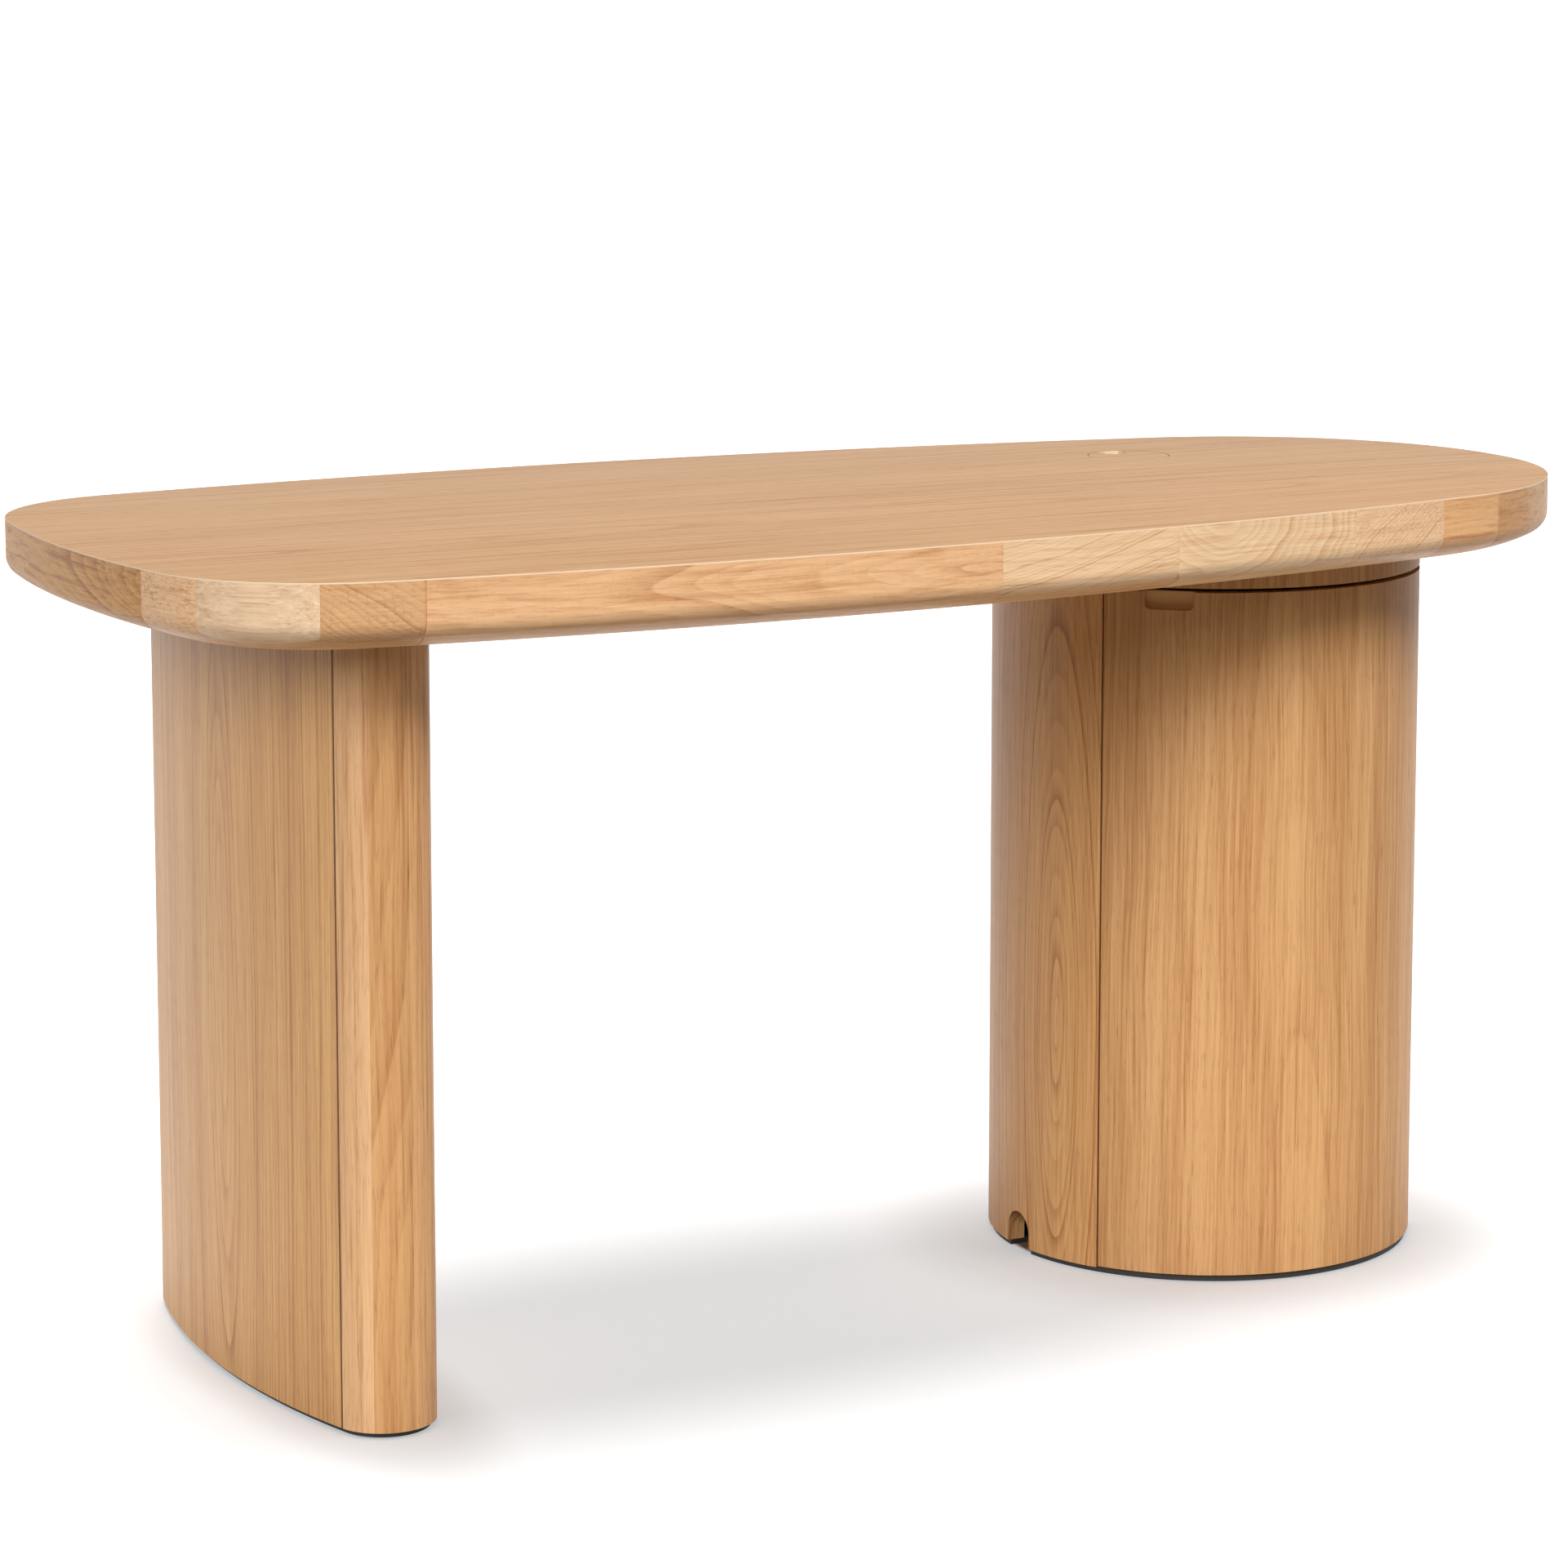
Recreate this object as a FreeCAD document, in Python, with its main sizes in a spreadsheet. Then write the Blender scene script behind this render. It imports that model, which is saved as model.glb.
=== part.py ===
import FreeCAD, Part
import Sketcher
import math
import os
from FreeCAD import Vector, Placement, Rotation

# An oak writing desk: a bowed oblong top on a hollow lens-shaped leg at the left
# and a round cupboard pedestal with a curved door at the right.
# Millimetres, +Z up. The origin is on the floor under the middle of the top.
# The user sits on the -Y side.

doc = FreeCAD.newDocument("OfficeDesk")
sheet = doc.addObject("Spreadsheet::Sheet", "sizes")

# driving dimensions: alias, value, meaning
dimensions = [
    ("desk_length", 1500, "overall length of the top, along X"),
    ("desk_width", 705, "overall width of the top, along Y"),
    ("desk_height", 750, "floor to the top face"),
    ("top_thickness", 63, "height of the lipping"),
    ("widest_share", -0.1127, "place of the widest point, as a share of the length"),
    ("side_drop_share", 0.1858, "bowed side's fall from there to the right tip, as a share of the width"),
    ("left_end_share", 1.691, "radius of the nearly flat left end, as a share of the width"),
    ("left_tip_angle", 9.08, "turn of the left end's arc to each side of the tip, degrees"),
    ("right_end_share", 0.7291, "radius of the short arc at the right tip, as a share of the width"),
    ("right_tip_angle", 1.22, "turn of the right tip's arc to each side, degrees"),
    ("face_veneer", 1.2, "veneer that covers the top and the lipping"),
    ("board_thickness", 15, "upper and lower board of the top"),
    ("lipping_width", 70, "solid lipping, measured in from the outline"),
    ("under_round_width", 62, "how far the underside rounding reaches in"),
    ("under_round_height", 28, "how far the underside rounding reaches up"),
    ("under_nose_share", 0.6, "small radius of the rounding, as a share of its height"),
    ("frame_width", 45, "band of the frame between the boards"),
    ("batten_width", 40, "cross battens of the frame"),
    ("core_block_width", 120, "width of the fixing block over the leg"),
    ("core_block_share", 0.8, "length of the fixing block over the leg, as a share of the leg's"),
    ("lid_diameter", 80, "round lid of the cable port"),
    ("lid_thickness", 12, "lid"),
    ("lid_gap", 0.8, "kerf round the lid"),
    ("lid_slot_width", 24, "finger and cable slot in the lid"),
    ("lid_slot_depth", 26, "slot, measured in from the rim"),
    ("port_diameter", 62, "cable hole under the lid"),
    ("port_shift", 6, "port centre beside the pedestal axis, along X"),
    ("port_share", 0.8042, "port centre behind the pedestal axis, as a share of the inner radius"),
    ("port_block_width", 120, "solid block that is bored for the cable port, along X"),
    ("port_block_depth", 106, "solid block that is bored for the cable port, along Y"),
    ("liner_wall", 2.5, "wall of the sleeve in the cable hole"),
    ("liner_flange", 2, "flange that the lid rests on"),
    ("leg_from_end", 203, "left end of the top to the middle of the leg"),
    ("leg_share", 0.7092, "leg, along Y, as a share of the desk's width"),
    ("leg_thickness", 143, "leg, along X at its middle"),
    ("leg_nose_share", 0.318, "radius of the leg's round ends, as a share of its thickness"),
    ("leg_panel", 18, "thickness of the leg's bent panels"),
    ("post_tongue", 32, "post that reaches in between the panels"),
    ("stave_width", 35, "middle stave of a post"),
    ("stave_shift", -7.5, "middle of that stave beside the leg's middle"),
    ("groove_width", 3, "V groove where a panel meets a post"),
    ("groove_depth", 2, "V groove"),
    ("leg_block", 30, "top and bottom blocks inside the leg"),
    ("leg_rib", 18, "ribs inside the leg"),
    ("rib_share", 0.34, "rib places, as a share of the leg's height from each end"),
    ("foot_thickness", 5, "dark foot plate and plinth that lift the wood off the floor"),
    ("foot_inset", 5, "foot plate set in from the wood"),
    ("stud_diameter", 8, "studs between the leg and the top"),
    ("stud_embed", 34, "stud in the top, from its underside"),
    ("stud_tail", 16, "stud below the leg's top block"),
    ("stud_pair_spacing", 60, "two studs that share an access hole"),
    ("access_share", 0.4, "between the two access holes, as a share of the leg's length"),
    ("access_diameter", 44, "access holes in the leg's inner panel"),
    ("access_drop", 27, "access hole's centre below the top block"),
    ("nut_width", 13, "nuts, across flats"),
    ("nut_height", 6.5, "nuts"),
    ("washer_diameter", 20, "washers under the nuts"),
    ("washer_thickness", 1.6, "washers"),
    ("pedestal_from_end", 336, "right end of the top to the pedestal axis"),
    ("pedestal_share", 0.58723, "outside of the pedestal, as a share of the desk's width"),
    ("pedestal_wall", 18, "bent wall, header and door"),
    ("door_facing_angle", -90, "direction that the middle of the door faces, degrees"),
    ("door_half_angle", 60.5, "door opening to each side of that direction, degrees"),
    ("door_gap", 2, "gaps round the door at its two upright edges"),
    ("door_top_gap", 4, "gap between the door and the header"),
    ("header_height", 22.5, "fixed header over the door"),
    ("door_bottom_gap", 1.5, "door bottom above the plinth"),
    ("door_edge_strip", 10, "solid strip on the door's free edge"),
    ("door_stile", 32, "solid stile on the door's hinge edge, from the axis"),
    ("pivot_diameter", 7.8, "pivot pins"),
    ("pivot_depth", 22, "pivot pin in the door"),
    ("pivot_reach", 18, "upper pivot pin above the header's lower face"),
    ("bush_wall", 2.2, "bush round the upper pivot"),
    ("pivot_play", 0.2, "play of a pivot in its bush, all round"),
    ("thrust_washer_diameter", 15, "washer under the door"),
    ("thrust_washer", 1.2, "washer under the door"),
    ("pull_width", 47, "finger pull in the door's top edge"),
    ("pull_height", 17, "finger pull"),
    ("pull_depth", 9, "finger pull"),
    ("pull_corner", 6, "lower corners of the finger pull"),
    ("pull_from_edge", 64, "free edge of the door to the middle of the pull"),
    ("notch_width", 38, "cable notch at the floor"),
    ("notch_top", 38.5, "top of the cable notch above the floor"),
    ("plinth_inset", 3, "plinth set in from the wood"),
    ("plinth_band", 52, "width of the plinth ring"),
    ("plate_thickness", 18, "top plate, base plate and shelves"),
    ("base_plate_bottom", 50, "floor to the base plate, over the cable notch"),
    ("door_clearance", 3, "plates behind the door"),
    ("partition_thickness", 12, "panel in front of the cable duct"),
    ("partition_share", 0.6243, "back of that panel, as a share of the inner radius"),
    ("shelf_gap", 1, "shelf to the wall and to the panel behind it"),
    ("shelf_setback", 11, "shelf front behind the door"),
    ("lower_shelf_share", 0.34, "lower shelf, as a share of the cupboard's height"),
    ("upper_shelf_share", 0.68, "upper shelf, as a share of the cupboard's height"),
    ("shelf_pin_diameter", 5, "shelf pins"),
    ("shelf_pin_reach", 9, "shelf pin out of the wall"),
    ("shelf_pin_depth", 8, "shelf pin in the wall"),
    ("shelf_pin_angle", 20, "pins to each side of the X axis, degrees"),
    ("pin_hole_spacing", 32, "spare holes above and below each pin"),
    ("catch_width", 18, "magnetic catch"),
    ("catch_depth", 14, "magnetic catch"),
    ("catch_height", 25, "magnetic catch"),
    ("catch_from_edge", 46, "free edge of the door to the middle of the catch"),
    ("strike_thickness", 1.5, "steel strike on the door"),
    ("strike_width", 34, "steel strike on the door"),
    ("strike_height", 14, "steel strike on the door"),
    ("screw_diameter", 5, "wood screws"),
    ("screw_head_diameter", 10, "wood screws"),
    ("screw_head_height", 3, "wood screws"),
    ("screw_head_sink", 1.5, "base screw heads above the floor"),
    ("screw_length", 40, "screws that hold the pedestal to the top"),
    ("base_screw_length", 30, "screws that hold the plinth and the foot plate"),
    ("screw_circle_share", 0.66, "pedestal screws, as a share of the inner radius"),
    ("seat_gap", 0.2, "glued and seated pieces, where curved faces meet"),
    ("overrun", 10, "how far cutting tools run past a face"),
]
for row, (alias, value, meaning) in enumerate(dimensions, start=1):
    sheet.set("A%d" % row, meaning)
    sheet.set("B%d" % row, str(value))
    sheet.setAlias("B%d" % row, alias)
doc.recompute()


def size(alias):
    return float(sheet.get(alias))


def expression(text):
    # every known alias in the text becomes a reference to the sheet
    words = text.replace("(", " ( ").replace(")", " ) ").split()
    known = {name for name, value, meaning in dimensions}
    return " ".join("sizes." + word if word in known else word for word in words)


nodes = []


def publish(obj, label):
    obj.Label = label
    nodes.append(obj)
    return obj


def feature(label, shape):
    # a sub-part whose outline is worked out from the sheet below
    solids = shape.Solids
    clean = solids[0] if len(solids) == 1 else Part.makeCompound(solids)
    obj = doc.addObject("Part::Feature", label)
    obj.Shape = clean
    obj.Placement = clean.Placement
    return publish(obj, label)


# heights
topFace = size("desk_height")
veneerUnder = topFace - size("face_veneer")
underside = topFace - size("top_thickness")
upperBoardUnder = veneerUnder - size("board_thickness")
lowerBoardTop = underside + size("board_thickness")
woodBottom = size("foot_thickness")
overrun = size("overrun")
seat = size("seat_gap")

# plan places
halfLength = size("desk_length") / 2
halfWidth = size("desk_width") / 2
legX = -halfLength + size("leg_from_end")
pedestalX = halfLength - size("pedestal_from_end")
legHalf = size("desk_width") * size("leg_share") / 2
pedestalOuter = size("desk_width") * size("pedestal_share") / 2
pedestalInner = pedestalOuter - size("pedestal_wall")
portX = pedestalX + size("port_shift")
portY = size("port_share") * pedestalInner
fullTurn = 360


# Outline of the top: five tangent arcs from the right tip to the left tip, mirrored

def polar(centre, radius, degrees, z=0):
    angle = math.radians(degrees)
    return Vector(centre[0] + radius * math.cos(angle), centre[1] + radius * math.sin(angle), z)


def bearing(centre, point):
    return math.degrees(math.atan2(point[1] - centre[1], point[0] - centre[0]))


def cornerBetween(side, sideRadius, end, endRadius, tipBearing):
    # circle inside both larger circles that leaves the end's arc at the given bearing
    towards = polar((0, 0), 1, tipBearing)
    dx = end[0] - side[0]
    dy = end[1] - side[1]
    spare = sideRadius - endRadius
    along = dx * towards.x + dy * towards.y
    reach = (spare * spare - dx * dx - dy * dy) / (2 * (along - spare))
    return (end[0] + reach * towards.x, end[1] + reach * towards.y), endRadius - reach


def topArcs():
    # centre, radius, start and end bearing of each arc of the back half
    width = size("desk_width")
    widest = size("widest_share") * size("desk_length")
    drop = size("side_drop_share") * width
    sideRadius = ((halfLength - widest) ** 2 + drop * drop) / (2 * drop)
    rightEndRadius = size("right_end_share") * width
    leftEndRadius = size("left_end_share") * width
    sideCentre = (widest, halfWidth - sideRadius)
    rightEnd = (halfLength - rightEndRadius, 0)
    leftEnd = (-halfLength + leftEndRadius, 0)
    rightTip = size("right_tip_angle")
    leftTip = fullTurn / 2 - size("left_tip_angle")
    rightCorner, rightCornerRadius = cornerBetween(
        sideCentre, sideRadius, rightEnd, rightEndRadius, rightTip)
    leftCorner, leftCornerRadius = cornerBetween(
        sideCentre, sideRadius, leftEnd, leftEndRadius, leftTip)
    rightSide = bearing(sideCentre, rightCorner)
    leftSide = bearing(sideCentre, leftCorner)
    return [
        (rightEnd, rightEndRadius, 0, rightTip),
        (rightCorner, rightCornerRadius, rightTip, rightSide),
        (sideCentre, sideRadius, rightSide, leftSide),
        (leftCorner, leftCornerRadius, leftSide, leftTip),
        (leftEnd, leftEndRadius, leftTip, fullTurn / 2),
    ]


arcs = topArcs()


def arcEdge(centre, radius, start, end, z, mirrored=False):
    points = [polar(centre, radius, angle, z) for angle in (start, (start + end) / 2, end)]
    if mirrored:
        points = [Vector(point.x, -point.y, point.z) for point in reversed(points)]
    return Part.Arc(*points).toShape()


def topPrism(inset, bottom, top):
    back = [arcEdge(c, r - inset, start, end, bottom) for c, r, start, end in arcs]
    front = [arcEdge(c, r - inset, start, end, bottom, True) for c, r, start, end in reversed(arcs)]
    return Part.Face(Part.Wire(back + front)).extrude(Vector(0, 0, top - bottom))


def cylinder(x, y, radius, bottom, top):
    return Part.makeCylinder(radius, top - bottom, Vector(x, y, bottom))


def box(x0, x1, y0, y1, z0, z1):
    return Part.makeBox(x1 - x0, y1 - y0, z1 - z0, Vector(x0, y0, z0))


def ringSector(centre, outer, inner, bottom, top, start, end):
    height = top - bottom
    turn = end - start
    base = Vector(centre[0], centre[1], bottom)
    solid = Part.makeCylinder(outer, height, base, Vector(0, 0, 1), turn)
    core = Part.makeCylinder(inner, height, base, Vector(0, 0, 1), turn)
    ring = solid.cut(core)
    ring.rotate(base, Vector(0, 0, 1), start)
    return ring


# Top: veneer, two boards, the frame and fixing blocks between them

portRadius = size("port_diameter") / 2
lidRadius = size("lid_diameter") / 2
recessRadius = lidRadius + size("lid_gap")
lidUnder = topFace - size("lid_thickness")
flangeUnder = lidUnder - size("liner_flange")
lipping = size("lipping_width")

studRadius = size("stud_diameter") / 2
studHole = studRadius + seat
studPlaces = []
for accessSide in (-1, 1):
    for studSide in (-1, 1):
        fromMiddle = accessSide * legHalf * size("access_share")
        studPlaces.append(fromMiddle + studSide * size("stud_pair_spacing") / 2)

screwRadius = size("screw_diameter") / 2
screwHead = size("screw_head_diameter") / 2
screwCircle = pedestalInner * size("screw_circle_share")
# pedestal screws, as shares of a full turn from +X
screwTurnShares = [0, 1 / 8, 3 / 8, 1 / 2, 2 / 3, 5 / 6]
fixingPlaces = [polar((pedestalX, 0), screwCircle, fullTurn * share) for share in screwTurnShares]
plateUnder = underside - size("plate_thickness")
screwTip = plateUnder + size("screw_length")


# cross battens of the frame, as shares of the way from the leg's block to the pedestal's
battenShares = [1 / 4, 1 / 2, 3 / 4]


def boreForFixings(shape):
    # stud and screw holes in whatever lies over the leg and the pedestal
    for y in studPlaces:
        shape = shape.cut(cylinder(legX, y, studHole, underside - overrun, underside + size("stud_embed")))
    for place in fixingPlaces:
        shape = shape.cut(cylinder(place.x, place.y, screwRadius, plateUnder, screwTip))
    return shape


def makeTop():
    veneer = topPrism(0, veneerUnder, topFace)
    feature("top_face_veneer", veneer.cut(
        cylinder(portX, portY, recessRadius, veneerUnder - overrun, topFace + overrun)))
    halfPort = size("port_block_width") / 2
    halfPortDepth = size("port_block_depth") / 2
    portBlock = box(portX - halfPort, portX + halfPort, portY - halfPortDepth, portY + halfPortDepth,
                    underside, veneerUnder)
    bored = portBlock.cut(cylinder(portX, portY, recessRadius, flangeUnder, topFace))
    bored = bored.cut(cylinder(portX, portY, portRadius, underside - overrun, topFace))
    feature("cable_port_block", bored)
    feature("top_upper_board", topPrism(lipping, upperBoardUnder, veneerUnder).cut(portBlock))
    lower = topPrism(lipping, underside, lowerBoardTop).cut(portBlock)
    feature("top_lower_board", boreForFixings(lower))
    inner = lipping + size("frame_width")
    frame = topPrism(lipping, lowerBoardTop, upperBoardUnder)
    frame = frame.cut(topPrism(inner, lowerBoardTop, upperBoardUnder))
    room = topPrism(inner, lowerBoardTop, upperBoardUnder)
    batten = size("batten_width") / 2
    gapLeft = legX + size("core_block_width") / 2
    gapRight = pedestalX - pedestalInner
    for share in battenShares:
        x = gapLeft + share * (gapRight - gapLeft)
        rail = box(x - batten, x + batten, -halfWidth, halfWidth, lowerBoardTop, upperBoardUnder)
        frame = frame.fuse(rail.common(room))
    frame = frame.cut(portBlock)
    feature("top_core_frame", frame.removeSplitter())
    halfBlock = size("core_block_width") / 2
    halfBlockLength = legHalf * size("core_block_share")
    block = box(legX - halfBlock, legX + halfBlock, -halfBlockLength, halfBlockLength,
                lowerBoardTop, upperBoardUnder)
    block = block.common(topPrism(inner + seat, lowerBoardTop, upperBoardUnder))
    feature("top_core_block_leg", boreForFixings(block))
    disc = cylinder(pedestalX, 0, pedestalInner, lowerBoardTop, upperBoardUnder)
    disc = disc.common(topPrism(inner + seat, lowerBoardTop, upperBoardUnder))
    disc = disc.cut(portBlock)
    feature("top_core_block_pedestal", boreForFixings(disc))


# Lipping: solid blocks round the top, each a revolved length of one profile

def lippingProfile(centre, radius, degrees):
    width = size("under_round_width")
    height = size("under_round_height")
    nose = height * size("under_nose_share")
    belly = (width * width + height * height - 2 * width * nose) / (2 * (height - nose))
    noseCentre = (nose, height)
    bellyCentre = (width, belly)
    reach = math.hypot(bellyCentre[0] - noseCentre[0], bellyCentre[1] - noseCentre[1])
    towards = ((noseCentre[0] - bellyCentre[0]) / reach, (noseCentre[1] - bellyCentre[1]) / reach)
    join = (noseCentre[0] + towards[0] * nose, noseCentre[1] + towards[1] * nose)

    def place(inset, rise):
        return polar(centre, radius - inset, degrees, underside + rise)

    def onNose(angle):
        return place(noseCentre[0] + nose * math.cos(angle), noseCentre[1] + nose * math.sin(angle))

    def onBelly(angle):
        return place(bellyCentre[0] + belly * math.cos(angle), bellyCentre[1] + belly * math.sin(angle))

    joinAngle = math.atan2(towards[1], towards[0]) % (2 * math.pi)
    rise = veneerUnder - underside
    nearNose = onNose((math.pi + joinAngle) / 2)
    nearBelly = onBelly((joinAngle + 3 * math.pi / 2) / 2)
    edges = [
        Part.makeLine(place(0, rise), place(0, height)),
        Part.Arc(place(0, height), nearNose, place(*join)).toShape(),
        Part.Arc(place(*join), nearBelly, place(width, 0)).toShape(),
        Part.makeLine(place(width, 0), place(lipping, 0)),
        Part.makeLine(place(lipping, 0), place(lipping, rise)),
        Part.makeLine(place(lipping, rise), place(0, rise)),
    ]
    return Part.Face(Part.Wire(edges))


def lippingRun(start, end):
    # stations count the arcs from the right tip: 2.5 is halfway along the third arc
    run = None
    for index, (centre, radius, first, last) in enumerate(arcs):
        low = max(start, index) - index
        high = min(end, index + 1) - index
        if high <= low:
            continue
        fromBearing = first + low * (last - first)
        turn = (high - low) * (last - first)
        profile = lippingProfile(centre, radius, fromBearing)
        part = profile.revolve(Vector(centre[0], centre[1], 0), Vector(0, 0, 1), turn)
        run = part if run is None else run.fuse(part)
    return run.removeSplitter()


def frontRun(start, end):
    return lippingRun(start, end).mirror(Vector(0, 0, 0), Vector(0, 1, 0))


# seams between the front blocks, from the right tip to the left end
frontSeamShares = [0, 1.73, 1.90, 2.036, 2.137, 2.323, 2.491, 2.964, 3.228, 3.755, 4.14]
backSeamShares = [0, 1.70, 2.10, 2.45, 2.964, 3.72]
tipStation = 5


def makeLipping():
    for index in range(len(frontSeamShares) - 1):
        block = frontRun(frontSeamShares[index], frontSeamShares[index + 1])
        feature("lipping_front_%d" % (index + 1), block)
    for index in range(len(backSeamShares) - 1):
        block = lippingRun(backSeamShares[index], backSeamShares[index + 1])
        feature("lipping_back_%d" % (index + 1), block)
    frontHalf = frontRun(frontSeamShares[-1], tipStation)
    backHalf = lippingRun(backSeamShares[-1], tipStation)
    feature("lipping_left_end", frontHalf.fuse(backHalf).removeSplitter())


# Sketches: each is fully held by the sheet's sizes

def originPlane(body, role):
    for item in body.Origin.OriginFeatures:
        if item.Role == role:
            return item


def bodyAt(label, x, y, z, degrees=0):
    body = doc.addObject("PartDesign::Body", label + "_body")
    turn = Rotation(Vector(0, 0, 1), degrees)
    body.Placement = Placement(Vector(x, y, z), turn)
    return publish(body, label)


def sketchOn(body, name):
    sketch = body.newObject("Sketcher::SketchObject", body.Label + "_" + name)
    sketch.AttachmentSupport = (originPlane(body, "XY_Plane"), [""])
    sketch.MapMode = "FlatFace"
    return sketch


def addCircle(sketch, radiusText, x=0, y=0):
    index = sketch.addGeometry(Part.Circle(Vector(x, y, 0), Vector(0, 0, 1), overrun), False)
    if x == 0 and y == 0:
        sketch.addConstraint(Sketcher.Constraint("Coincident", index, 3, -1, 1))
    else:
        sketch.addConstraint(Sketcher.Constraint("DistanceX", -1, 1, index, 3, x))
        sketch.addConstraint(Sketcher.Constraint("DistanceY", -1, 1, index, 3, y))
    held = sketch.addConstraint(Sketcher.Constraint("Radius", index, overrun))
    sketch.setExpression("Constraints[%d]" % held, expression(radiusText))
    return index


def addRectangle(sketch, widthText, depthText):
    # a rectangle centred on the sketch's origin
    half = overrun
    corners = [Vector(-half, -half, 0), Vector(half, -half, 0), Vector(half, half, 0), Vector(-half, half, 0)]
    for i in range(4):
        sketch.addGeometry(Part.LineSegment(corners[i], corners[(i + 1) % 4]), False)
    for i in range(4):
        sketch.addConstraint(Sketcher.Constraint("Coincident", i, 2, (i + 1) % 4, 1))
    for i, kind in enumerate(("Horizontal", "Vertical", "Horizontal", "Vertical")):
        sketch.addConstraint(Sketcher.Constraint(kind, i))
    sketch.addConstraint(Sketcher.Constraint("Symmetric", 0, 1, 2, 1, -1, 1))
    wide = sketch.addConstraint(Sketcher.Constraint("DistanceX", 0, 1, 0, 2, 2 * half))
    deep = sketch.addConstraint(Sketcher.Constraint("DistanceY", 1, 1, 1, 2, 2 * half))
    sketch.setExpression("Constraints[%d]" % wide, expression(widthText))
    sketch.setExpression("Constraints[%d]" % deep, expression(depthText))


def addPad(body, sketch, lengthText):
    pad = body.newObject("PartDesign::Pad", body.Label + "_pad")
    pad.Profile = sketch
    pad.setExpression("Length", expression(lengthText))
    sketch.Visibility = False
    doc.recompute()
    return pad


def addThroughPocket(body, sketch):
    pocket = body.newObject("PartDesign::Pocket", body.Label + "_pocket")
    pocket.Profile = sketch
    pocket.Type = "ThroughAll"
    pocket.Reversed = True
    before = body.Shape.Volume
    doc.recompute()
    if body.Shape.Volume >= before:
        raise RuntimeError(body.Label + ": the pocket cuts nothing")
    return pocket


# Cable port: lid and sleeve

def makePort():
    lid = bodyAt("cable_port_lid", portX, portY, lidUnder)
    outline = sketchOn(lid, "outline")
    addCircle(outline, "lid_diameter / 2")
    addPad(lid, outline, "lid_thickness")
    slot = sketchOn(lid, "slot")
    slotRadius = size("lid_slot_width") / 2
    deep = lidRadius - size("lid_slot_depth") + slotRadius
    far = lidRadius + overrun
    slot.addGeometry(Part.ArcOfCircle(
        Part.Circle(Vector(0, deep, 0), Vector(0, 0, 1), slotRadius), math.pi, 2 * math.pi), False)
    slot.addGeometry(Part.LineSegment(Vector(slotRadius, deep, 0), Vector(slotRadius, far, 0)), False)
    slot.addGeometry(Part.LineSegment(Vector(slotRadius, far, 0), Vector(-slotRadius, far, 0)), False)
    slot.addGeometry(Part.LineSegment(Vector(-slotRadius, far, 0), Vector(-slotRadius, deep, 0)), False)
    slot.addConstraint(Sketcher.Constraint("Tangent", 0, 2, 1, 1))
    slot.addConstraint(Sketcher.Constraint("Coincident", 1, 2, 2, 1))
    slot.addConstraint(Sketcher.Constraint("Coincident", 2, 2, 3, 1))
    slot.addConstraint(Sketcher.Constraint("Tangent", 3, 2, 0, 1))
    slot.addConstraint(Sketcher.Constraint("Horizontal", 2))
    slot.addConstraint(Sketcher.Constraint("Vertical", 1))
    slot.addConstraint(Sketcher.Constraint("PointOnObject", 0, 3, -2))
    width = slot.addConstraint(Sketcher.Constraint("Radius", 0, slotRadius))
    place = slot.addConstraint(Sketcher.Constraint("DistanceY", -1, 1, 0, 3, deep))
    reach = slot.addConstraint(Sketcher.Constraint("DistanceY", -1, 1, 1, 2, far))
    slot.setExpression("Constraints[%d]" % width, expression("lid_slot_width / 2"))
    slot.setExpression("Constraints[%d]" % place, expression(
        "lid_diameter / 2 - lid_slot_depth + lid_slot_width / 2"))
    slot.setExpression("Constraints[%d]" % reach, expression("lid_diameter / 2 + overrun"))
    addThroughPocket(lid, slot)

    sleeve = bodyAt("cable_port_sleeve", portX, portY, underside)
    tube = sketchOn(sleeve, "tube")
    addCircle(tube, "port_diameter / 2 - seat_gap")
    addCircle(tube, "port_diameter / 2 - seat_gap - liner_wall")
    addPad(sleeve, tube, "top_thickness - lid_thickness")
    flange = sketchOn(sleeve, "flange")
    addCircle(flange, "lid_diameter / 2")
    addCircle(flange, "port_diameter / 2 - seat_gap - liner_wall")
    rim = sleeve.newObject("PartDesign::Pad", "sleeve_flange_pad")
    rim.Profile = flange
    flange.setExpression("AttachmentOffset.Base.z", expression(
        "top_thickness - lid_thickness - liner_flange"))
    rim.setExpression("Length", expression("liner_flange"))
    doc.recompute()


# Leg: two bent panels between two built-up posts

legHalfThickness = size("leg_thickness") / 2
noseRadius = size("leg_thickness") * size("leg_nose_share")
legBow = (legHalfThickness ** 2 + legHalf ** 2 - 2 * noseRadius * legHalf) / (
    2 * (legHalfThickness - noseRadius))
bowCentre = legHalfThickness - legBow
noseCentreY = legHalf - noseRadius
seamBearing = math.degrees(math.atan2(noseCentreY, -bowCentre))


def lensPrism(inset, bottom, top):
    # the leg's plan: two bows and two noses, all tangent
    edges = []
    bow = legBow - inset
    nose = noseRadius - inset
    right = (legX + bowCentre, 0)
    left = (legX - bowCentre, 0)
    edges.append(arcEdge(right, bow, -seamBearing, seamBearing, bottom))
    edges.append(arcEdge((legX, noseCentreY), nose, seamBearing, fullTurn / 2 - seamBearing, bottom))
    edges.append(arcEdge(left, bow, fullTurn / 2 - seamBearing, fullTurn / 2 + seamBearing, bottom))
    edges.append(arcEdge((legX, -noseCentreY), nose, fullTurn / 2 + seamBearing,
                         fullTurn - seamBearing, bottom))
    return Part.Face(Part.Wire(edges)).extrude(Vector(0, 0, top - bottom))


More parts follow.
